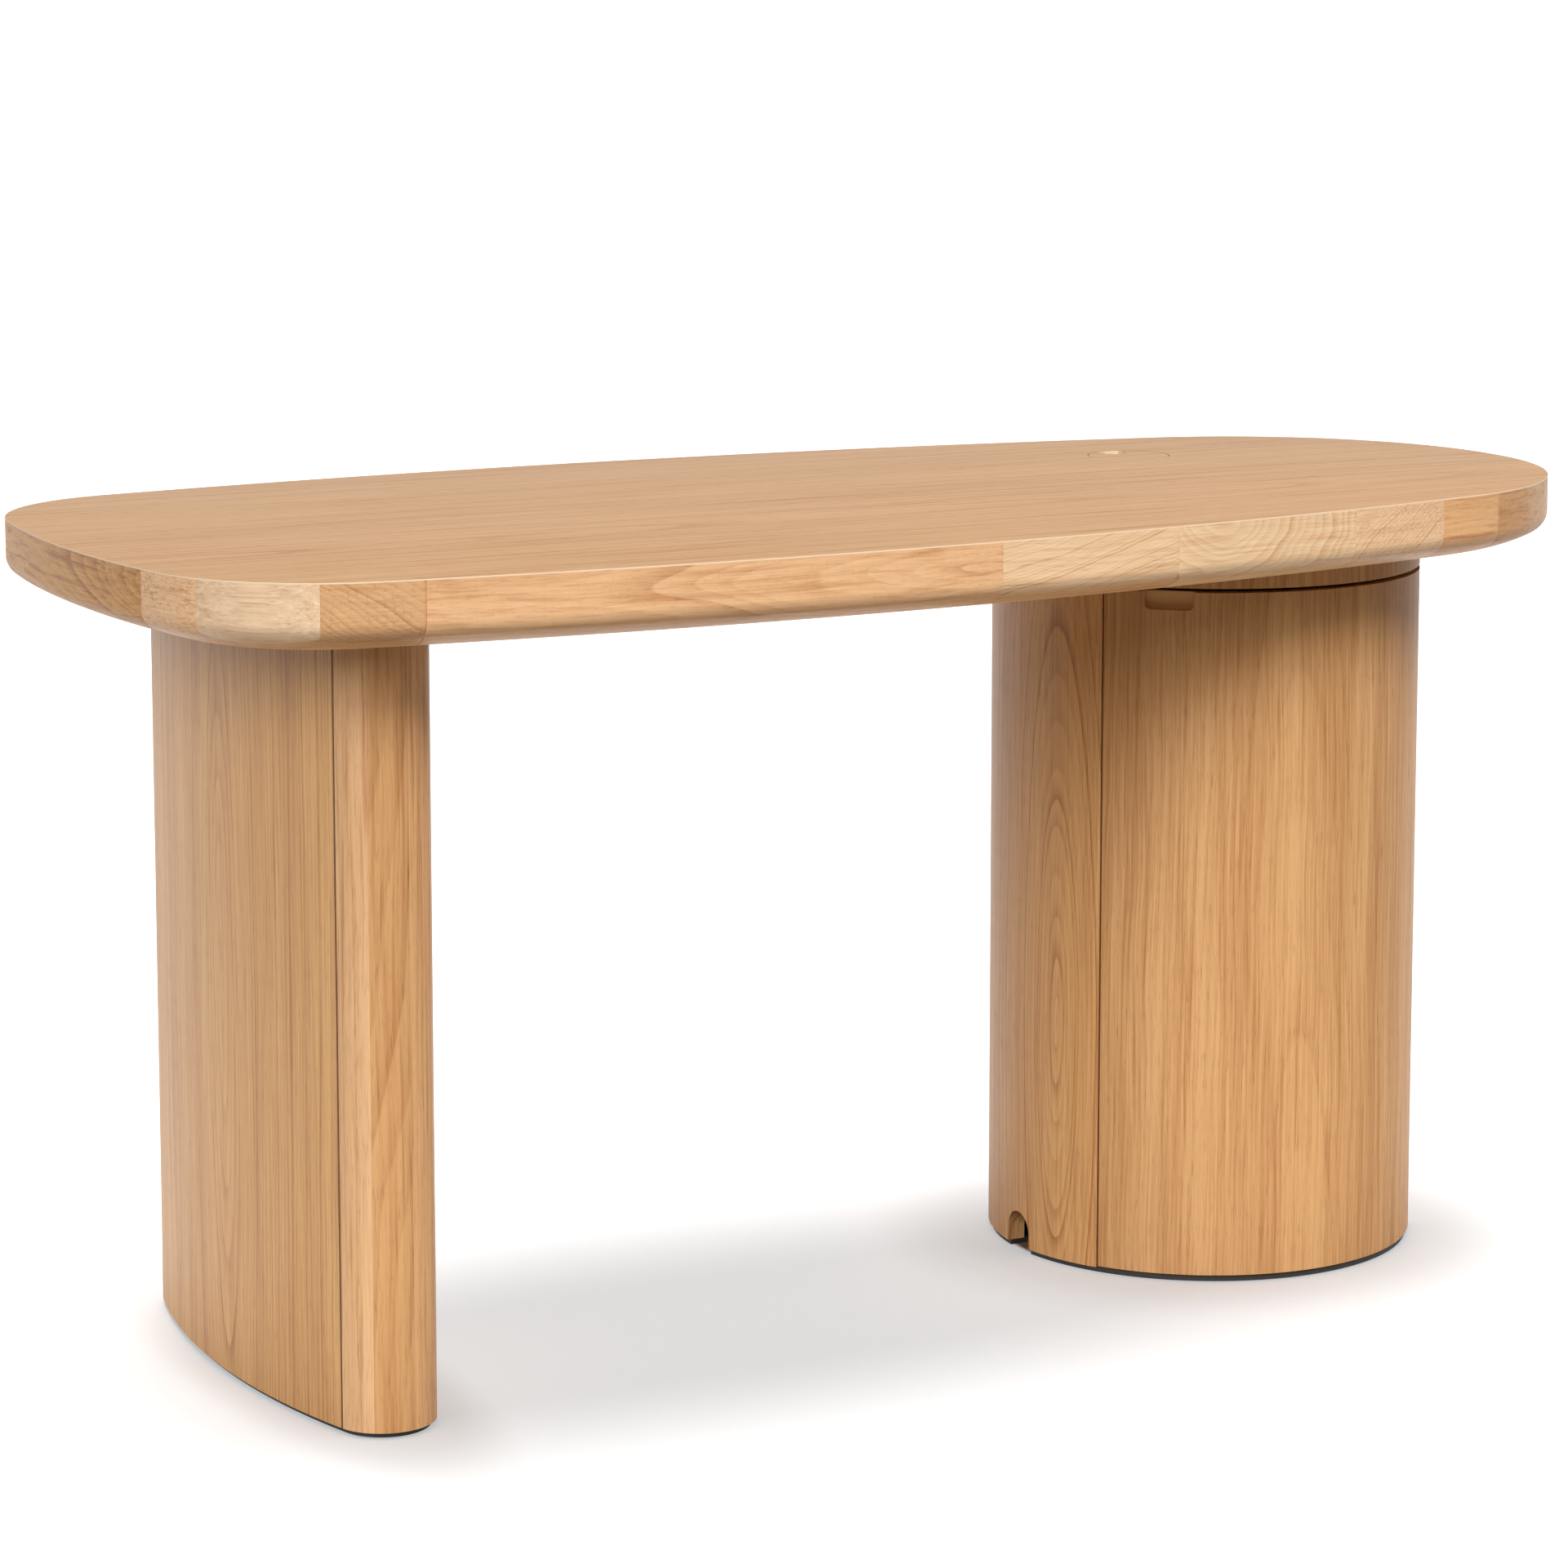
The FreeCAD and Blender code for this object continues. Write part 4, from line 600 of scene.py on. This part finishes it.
veneerSheet = {
    "step": 0.005,       # spacing of the points round the outline
    "ease": 0.0004,      # rounding of the rim
    "easeTurns": (30, 60, 90),
    "wood": {"middle": (202, 159, 114), "ringWidth": 0.012, "sharp": 5.0, "heartDepth": -0.05,
             "heartAcross": 0.12, "slopeDepth": 0.05, "wander": 0.07, "wanderScale": 1.6, "rings": 0.7,
             "bands": 0.35, "streaks": 0.36, "fibres": 0.35, "pores": 0.5, "gloss": 0.12, "seed": 3.0},
    # paler wood on the leaning faces of the rim and the port, partly a painted highlight along the edge
    "paleRimAndHighlight": (240, 212, 180),
    "rimTilt": 0.8,      # faces that lean more than this count as edge
    # painted shade: the tone of the dark edge in the gap round the lid
    "paintedKerfShade": (84, 56, 34),
    "kerfReach": (-0.0004, 0.004),    # where the painted shade round the port lies, from its radius
    "slotHalf": 0.0125,
}


def buildVeneer():
    # rings from the outline, over its eased edge, in to the cable port, down and back underneath
    half, _ = evenStations(0, 5, veneerSheet["step"])
    back, awayBack = onOutline(half)
    front, awayFront = onOutline(half[::-1], front=True)
    outline = np.concatenate([back, front[1:-1]])
    away = np.concatenate([awayBack, awayFront[1:-1]])
    centre = np.array(topShape["portSpot"])
    bearing = np.arctan2(*(outline - centre).T[::-1])
    port = np.stack([np.cos(bearing), np.sin(bearing)], 1)
    high, low, ease = topShape["height"], topShape["height"] - topShape["veneer"], veneerSheet["ease"]
    rings = [(outline, low), (outline, high - ease)]
    for turn in np.radians(veneerSheet["easeTurns"]):
        rings.append((outline - away * ease * (1 - math.cos(turn)), high - ease * (1 - math.sin(turn))))
    rings.append((centre + port * topShape["portRadius"], high))
    rings.append((centre + port * topShape["portRadius"], low))
    places = np.array([np.column_stack([ring, np.full(len(ring), z)]) for ring, z in rings])
    faces = gridFaces(len(rings), len(outline), closeRows=True, closeColumns=True)
    material = newMaterial("oakTopVeneer")
    tree = material.node_tree
    place = turnedGrain(tree, objectPlace(tree), (0, 0, high), (1, 0, 0), (0, 0, 1))
    out = placeWood(tree, place, veneerSheet["wood"])
    # the rim and the port's wall take a paler tone: paler cut wood and partly a painted highlight
    facing = put(tree, "ShaderNodeNewGeometry").outputs["True Normal"]
    upright = put(tree, "ShaderNodeSeparateXYZ", {0: facing}).outputs[2]
    edge = calc(tree, "LESS_THAN", upright, veneerSheet["rimTilt"])
    colour = blendColour(tree, edge, out["Color"], tone(*veneerSheet["paleRimAndHighlight"]))
    # painted shade: a dark edge round the cable port, for the shadow in the gap round the lid, except where
    # the lid's slot shows it
    flat = scaled(tree, objectPlace(tree), (1, 1, 0))
    fromPort = put(tree, "ShaderNodeVectorMath", {0: flat, 1: (*topShape["portSpot"], 0)},
                   operation="SUBTRACT").outputs[0]
    distance = put(tree, "ShaderNodeVectorMath", {0: fromPort}, operation="LENGTH").outputs["Value"]
    aside = calc(tree, "ABSOLUTE", put(tree, "ShaderNodeSeparateXYZ", {0: fromPort}).outputs[0])
    inner, outer = [topShape["portRadius"] + reach for reach in veneerSheet["kerfReach"]]
    kerf = calc(tree, "MULTIPLY", calc(tree, "GREATER_THAN", distance, inner),
                calc(tree, "LESS_THAN", distance, outer))
    besideSlot = calc(tree, "GREATER_THAN", aside, veneerSheet["slotHalf"])
    kerf = calc(tree, "MULTIPLY", calc(tree, "MULTIPLY", kerf, edge), besideSlot)
    colour = blendColour(tree, kerf, colour, tone(*veneerSheet["paintedKerfShade"]))
    finishWood(material, colour, out["Roughness"], out["Height"], veneerSheet["wood"])
    piece = newPiece("topVeneer", places.reshape(-1, 3), faces, material, "desk", "top_face_veneer")
    print("top veneer:", len(outline), "points round the outline")


buildVeneer()


# woods of the pieces that keep their solid nodes

legSpot = (-0.547, 0.0)
legBow = {"radius": 0.862, "outerAxis": (0.2435, 0), "innerAxis": (-1.3375, 0)}
staves = {"across": 0.03, "end": 0.25, "middle": 0.3, "otherSeed": 5}    # where the posts' staves lie
pedestalSpot = (0.414, 0.0)
pedestalRadius = 0.207
# the leg's hollow tone is painted shade: a dark tone in the groove cut in from its face
legWood = {"middle": (218, 167, 106), "ringWidth": 0.0058, "sharp": 2.0, "heartDepth": 0.032,
           "heartAcross": 0.02, "slopeDepth": 0.085, "wander": 0.03, "wanderScale": 4.0, "rings": 0.85,
           "bands": 0.95, "streaks": 0.25, "fibres": 1.15, "pores": 0.55, "gloss": 0.5, "seed": 31.0,
           "hollow": (0.0003, 0.0026, (112, 76, 44))}
staveWood = [
    {"middle": (224, 178, 130), "ringWidth": 0.0034, "sharp": 3.0, "heartDepth": -0.2, "heartAcross": 0.08,
     "rings": 0.5, "pores": 0.6, "seed": 41.0},
    {"middle": (204, 154, 102), "ringWidth": 0.0042, "sharp": 2.0, "heartDepth": -0.04, "slopeDepth": 0.03,
     "heartAcross": 0.01, "wander": 0.015, "rings": 0.7, "pores": 0.6, "seed": 42.0},
    {"middle": (214, 164, 112), "ringWidth": 0.0050, "sharp": 2.0, "heartDepth": -0.1, "heartAcross": 0.04,
     "rings": 0.5, "pores": 0.6, "seed": 43.0},
]
pedestalWood = {"middle": (219, 168, 110), "ringWidth": 0.0046, "sharp": 1.8, "heartDepth": 0.028,
                "slopeDepth": 0.12, "wander": 0.014, "wanderScale": 5.0, "rings": 0.95, "bands": 0.75,
                "streaks": 0.25, "fibres": 1.15, "pores": 0.5, "gloss": 0.5, "seed": 51.0}
doorWood = {"middle": (207, 158, 107), "ringWidth": 0.0060, "sharp": 2.5, "heartDepth": -0.06,
            "heartAcross": -0.02, "slopeDepth": 0.05, "wander": 0.03, "wanderScale": 2.2, "rings": 0.32,
            "bands": 1.05, "streaks": 0.3, "fibres": 1.15, "pores": 0.5, "gloss": 0.15, "seed": 52.0}
doorPullPaintedLight = (0.0012, 0.012, (228, 182, 132))    # the finger pull's floor: from depth, to depth, and a paler tone, painted light that offsets the shade in the recess
plainVeneer = {"middle": (208, 164, 118), "ringWidth": 0.0050, "heartDepth": -0.15, "heartAcross": 0.3,
               "wander": 0.03, "wanderScale": 2.0, "rings": 0.3, "seed": 61.0}


def paint(material, *names):
    for name in names:
        node = nodes[name]
        for place in node.material_slots:
            place.link = "OBJECT"
            place.material = material


def roundOak(name, wood, bearing):
    # oak bent round the pedestal, its middle at a bearing in degrees
    return bentOak(name, wood, pedestalSpot, pedestalRadius, math.radians(bearing))


paint(bentOak("oakLegOuter", legWood, legBow["outerAxis"], legBow["radius"], math.pi), "leg_outer_panel")
paint(bentOak("oakLegInner", {**legWood, "seed": 32.0}, legBow["innerAxis"], legBow["radius"], 0.0),
      "leg_inner_panel")
for index, wood in enumerate(staveWood, 1):
    across = legSpot[0] + staves["across"] * (index - 2)
    other = {**wood, "seed": wood["seed"] + staves["otherSeed"]}
    paint(straightOak("oakStaveFront_%d" % index, wood, spot=(across, -staves["end"], staves["middle"])),
          "leg_front_stave_%d" % index)
    paint(straightOak("oakStaveRear_%d" % index, other, outward=(0, 1, 0),
                      spot=(across, staves["end"], staves["middle"])), "leg_rear_stave_%d" % index)
paint(roundOak("oakPedestal", pedestalWood, -164), "pedestal_shell")
paint(roundOak("oakDoor", {**doorWood, "hollow": doorPullPaintedLight}, -90), "door_panel")
paint(roundOak("oakDoorEdges", {**doorWood, "seed": 54.0}, -90), "door_edge_strip", "door_hinge_stile")
paint(roundOak("oakHeader", {**doorWood, "seed": 53.0}, -90), "door_header")
paint(straightOak("oakBoards", plainVeneer, (1, 0, 0), (0, 0, 1)),
      "pedestal_top_plate", "pedestal_base_plate", "duct_partition", "shelf_lower", "shelf_upper",
      "leg_access_caps")
paint(bpy.data.materials["oakTopVeneer"], "cable_port_lid")


plainFinish = {
    "board": {"chips": (260.0, 420.0, 420.0), "roughness": 0.85,
              "raw": ((196, 168, 128), (164, 134, 98)), "pale": ((246, 226, 192), (232, 206, 166))},
    "steel": {"grain": (400.0, 400.0, 90.0), "detail": (3.0, 0.6), "metallic": 1.0,
              "tones": ((188, 190, 192), (160, 162, 164)), "roughness": (0.28, 0.45)},
    "plastic": {"grain": (900.0, 900.0, 900.0), "detail": (2.0, 0.5), "metallic": 0.0,
                "tones": ((38, 36, 34), (52, 49, 46)), "roughness": (0.5, 0.65)},
    "noiseLimits": (0.2, 0.8),
}


def boardMaterial(name, tones):
    # board: fine chips between two tones
    material = newMaterial(name)
    tree = material.node_tree
    finish = plainFinish["board"]
    chips = put(tree, "ShaderNodeTexVoronoi", {"Vector": scaled(tree, objectPlace(tree), finish["chips"]),
                                               "Scale": 1.0}).outputs["Color"]
    mixed = put(tree, "ShaderNodeSeparateColor", {0: chips}).outputs[0]
    shader = tree.nodes["Principled BSDF"]
    first, second = [tone(*shown) for shown in tones]
    tree.links.new(blendColour(tree, mixed, first, second), shader.inputs["Base Color"])
    shader.inputs["Roughness"].default_value = finish["roughness"]
    return material


def grainedMaterial(name, finish):
    # zinc plated steel or matt plastic: a fine noise between two tones and two roughnesses
    material = newMaterial(name)
    tree = material.node_tree
    fine = noise(tree, scaled(tree, objectPlace(tree), finish["grain"]), *finish["detail"])
    shader = tree.nodes["Principled BSDF"]
    first, second = [tone(*shown) for shown in finish["tones"]]
    tree.links.new(blendColour(tree, fine, first, second), shader.inputs["Base Color"])
    rough = ramped(tree, fine, *plainFinish["noiseLimits"], *finish["roughness"])
    tree.links.new(rough, shader.inputs["Roughness"])
    shader.inputs["Metallic"].default_value = finish["metallic"]
    return material


steelNodes = ("leg_studs", "leg_nuts_and_washers", "pedestal_fixing_screws", "base_screws",
              "door_pivot_pins", "catch_strike_plate", "shelf_pins")
plasticNodes = ("leg_foot_plate", "pedestal_plinth", "magnetic_catch", "cable_port_sleeve",
                "upper_pivot_bush", "door_thrust_washer")
boardNodes = ("top_upper_board", "top_lower_board", "top_core_frame", "top_core_block_leg",
              "top_core_block_pedestal", "leg_top_block", "leg_bottom_block", "leg_ribs")
paint(grainedMaterial("zincSteel", plainFinish["steel"]), *steelNodes)
paint(grainedMaterial("darkPlastic", plainFinish["plastic"]), *plasticNodes)
paint(boardMaterial("rawBoard", plainFinish["board"]["raw"]), *boardNodes)
paint(boardMaterial("paleBoard", plainFinish["board"]["pale"]), "cable_port_block")
print("materials set")


# floor, lights and camera

studio = {
    "floorReach": 200.0,
    "floorLines": 9,                        # grid lines of the floor each way
    "worldLight": 0.04,
    "worldGloss": 0.9,                      # how bright the room looks in reflections
    "floorBounce": (0.80, 0.04),            # share of light thrown back at the desk, near it and far off
    "bounceReach": (0.7, 1.7),              # where the near value ends and the far value starts
    "bounceTint": (1.03, 0.95, 0.79),
    "floorShade": (0.84, 0.80, 0.77, 1),    # how much of the floor's look comes from light
    "floorGlow": (0.62, 0.655, 0.68, 1),    # and how much it glows by itself, a little cool
    "darkInside": (0.196, 0.204),           # no glow nearer than this to the pedestal's axis
    "contactPaintedShade": 0.74,                    # share of the glow left beside the pedestal and the leg, painted shade there
    "besidePedestal": (0.20, 0.35),
    "legStretch": (12.5, 3.5, 0.0),         # turns the leg's lens into a round of about 1
    "besideLeg": (0.9, 1.6),
    "lamps": {
        "frontLight": {"strength": 2.62, "angle": 26, "elevation": 50.5, "bearing": -72},
        "leftLight": {"strength": 2.1, "angle": 36, "elevation": 30, "bearing": -145},
        "floorLight": {"strength": 3.1, "angle": 34, "elevation": 84, "bearing": 75, "floorOnly": True},
    },
}
view = {
    "spot": (-2.0980, -3.8748, 1.2959), "yaw": 27.863, "pitch": 7.885,
    "lens": 109.57, "sensor": 36.0, "shiftY": -0.14, "farthest": 1000,
}


def directRay(tree):
    # 1 for rays that show the studio itself: seen directly, in a reflection or through glass
    seen = put(tree, "ShaderNodeLightPath").outputs
    mirrored = calc(tree, "ADD", seen["Is Glossy Ray"], seen["Is Transmission Ray"])
    return calc(tree, "MINIMUM", calc(tree, "ADD", seen["Is Camera Ray"], mirrored), 1.0)


def floorDistance(tree, spot, stretch):
    # distance from an upright axis, measured in stretched metres
    away = put(tree, "ShaderNodeVectorMath", {0: objectPlace(tree), 1: (*spot, 0.0)},
               operation="SUBTRACT").outputs[0]
    return put(tree, "ShaderNodeVectorMath", {0: scaled(tree, away, stretch)},
               operation="LENGTH").outputs["Value"]


def buildFloor():
    reach, lines = studio["floorReach"], studio["floorLines"]
    steps = np.linspace(-reach, reach, lines)
    x, y = np.meshgrid(steps, steps)
    places = np.column_stack([x.ravel(), y.ravel(), np.zeros(x.size)])
    mesh = bpy.data.meshes.new("floor")
    mesh.from_pydata(places.tolist(), [], gridFaces(lines, lines))
    floor = bpy.data.objects.new("floor", mesh)
    bpy.context.scene.collection.objects.link(floor)
    material = newMaterial("floorWhite")
    tree = material.node_tree
    tree.nodes.remove(tree.nodes["Principled BSDF"])
    away = put(tree, "ShaderNodeVectorMath", {0: objectPlace(tree)}, operation="LENGTH").outputs["Value"]
    share = ramped(tree, away, *studio["bounceReach"], *studio["floorBounce"])
    warm = put(tree, "ShaderNodeVectorMath", {0: studio["bounceTint"], "Scale": share},
               operation="SCALE").outputs[0]
    bounce = put(tree, "ShaderNodeBsdfDiffuse", {"Color": warm}).outputs[0]
    pale = put(tree, "ShaderNodeBsdfDiffuse", {"Color": studio["floorShade"]}).outputs[0]
    # no glow on the floor inside the pedestal, which shows with the door open,
    # and a weaker one close to the pedestal and the leg: painted shade that deepens the shadow there
    fromPedestal = floorDistance(tree, pedestalSpot, (1, 1, 0))
    fromLeg = floorDistance(tree, legSpot, studio["legStretch"])
    strength = ramped(tree, fromPedestal, *studio["darkInside"])
    for distance, limits in ((fromPedestal, "besidePedestal"), (fromLeg, "besideLeg")):
        beside = ramped(tree, distance, *studio[limits], studio["contactPaintedShade"], 1.0)
        strength = calc(tree, "MULTIPLY", strength, beside)
    glow = put(tree, "ShaderNodeEmission", {"Color": studio["floorGlow"],
                                            "Strength": strength}).outputs[0]
    bright = put(tree, "ShaderNodeAddShader", {0: pale, 1: glow}).outputs[0]
    mixed = put(tree, "ShaderNodeMixShader", {0: directRay(tree), 1: bounce, 2: bright}).outputs[0]
    tree.links.new(mixed, tree.nodes["Material Output"].inputs["Surface"])
    mesh.materials.append(material)
    return floor


def lampReach(name, floor, floorOnly):
    # the floor has a lamp of its own from nearly straight above, so its shadow stays under the desk
    reach = bpy.data.collections.new(name)
    reach.objects.link(floor)
    reach.collection_objects[0].light_linking.link_state = "INCLUDE" if floorOnly else "EXCLUDE"
    return reach


def buildSun(name, lamp, floor):
    light = bpy.data.lights.new(name, "SUN")
    light.energy = lamp["strength"]
    light.angle = math.radians(lamp["angle"])
    holder = bpy.data.objects.new(name, light)
    elevation, bearing = math.radians(lamp["elevation"]), math.radians(lamp["bearing"])
    # the lamp shines along its own -Z; X tilts it down from the zenith, Z turns it to the bearing
    holder.rotation_euler = (math.pi / 2 - elevation, 0, bearing + math.pi / 2)
    bpy.context.scene.collection.objects.link(holder)
    reach = lampReach(name + "Reach", floor, lamp.get("floorOnly", False))
    holder.light_linking.receiver_collection = reach


def buildWorld():
    world = bpy.data.worlds.new("studio")
    bpy.context.scene.world = world
    world.use_nodes = True
    tree = world.node_tree
    background = tree.nodes["Background"]
    background.inputs["Color"].default_value = (1, 1, 1, 1)
    seen = put(tree, "ShaderNodeLightPath").outputs["Is Camera Ray"]
    gloss = put(tree, "ShaderNodeMix", {0: directRay(tree), 2: studio["worldLight"],
                                        3: studio["worldGloss"]}).outputs[0]
    strength = put(tree, "ShaderNodeMix", {0: seen, 2: gloss, 3: 1.0}).outputs[0]
    tree.links.new(strength, background.inputs["Strength"])


def buildCamera():
    camera = bpy.data.cameras.new("camera")
    camera.lens, camera.sensor_width, camera.shift_y = view["lens"], view["sensor"], view["shiftY"]
    camera.clip_end = view["farthest"]
    holder = bpy.data.objects.new("camera", camera)
    holder.location = view["spot"]
    holder.rotation_euler = (math.radians(90 - view["pitch"]), 0, -math.radians(view["yaw"]))
    bpy.context.scene.collection.objects.link(holder)
    bpy.context.scene.camera = holder


floor = buildFloor()
for name, lamp in studio["lamps"].items():
    buildSun(name, lamp, floor)
buildWorld()
buildCamera()
bpy.context.scene.view_settings.view_transform = "Standard"
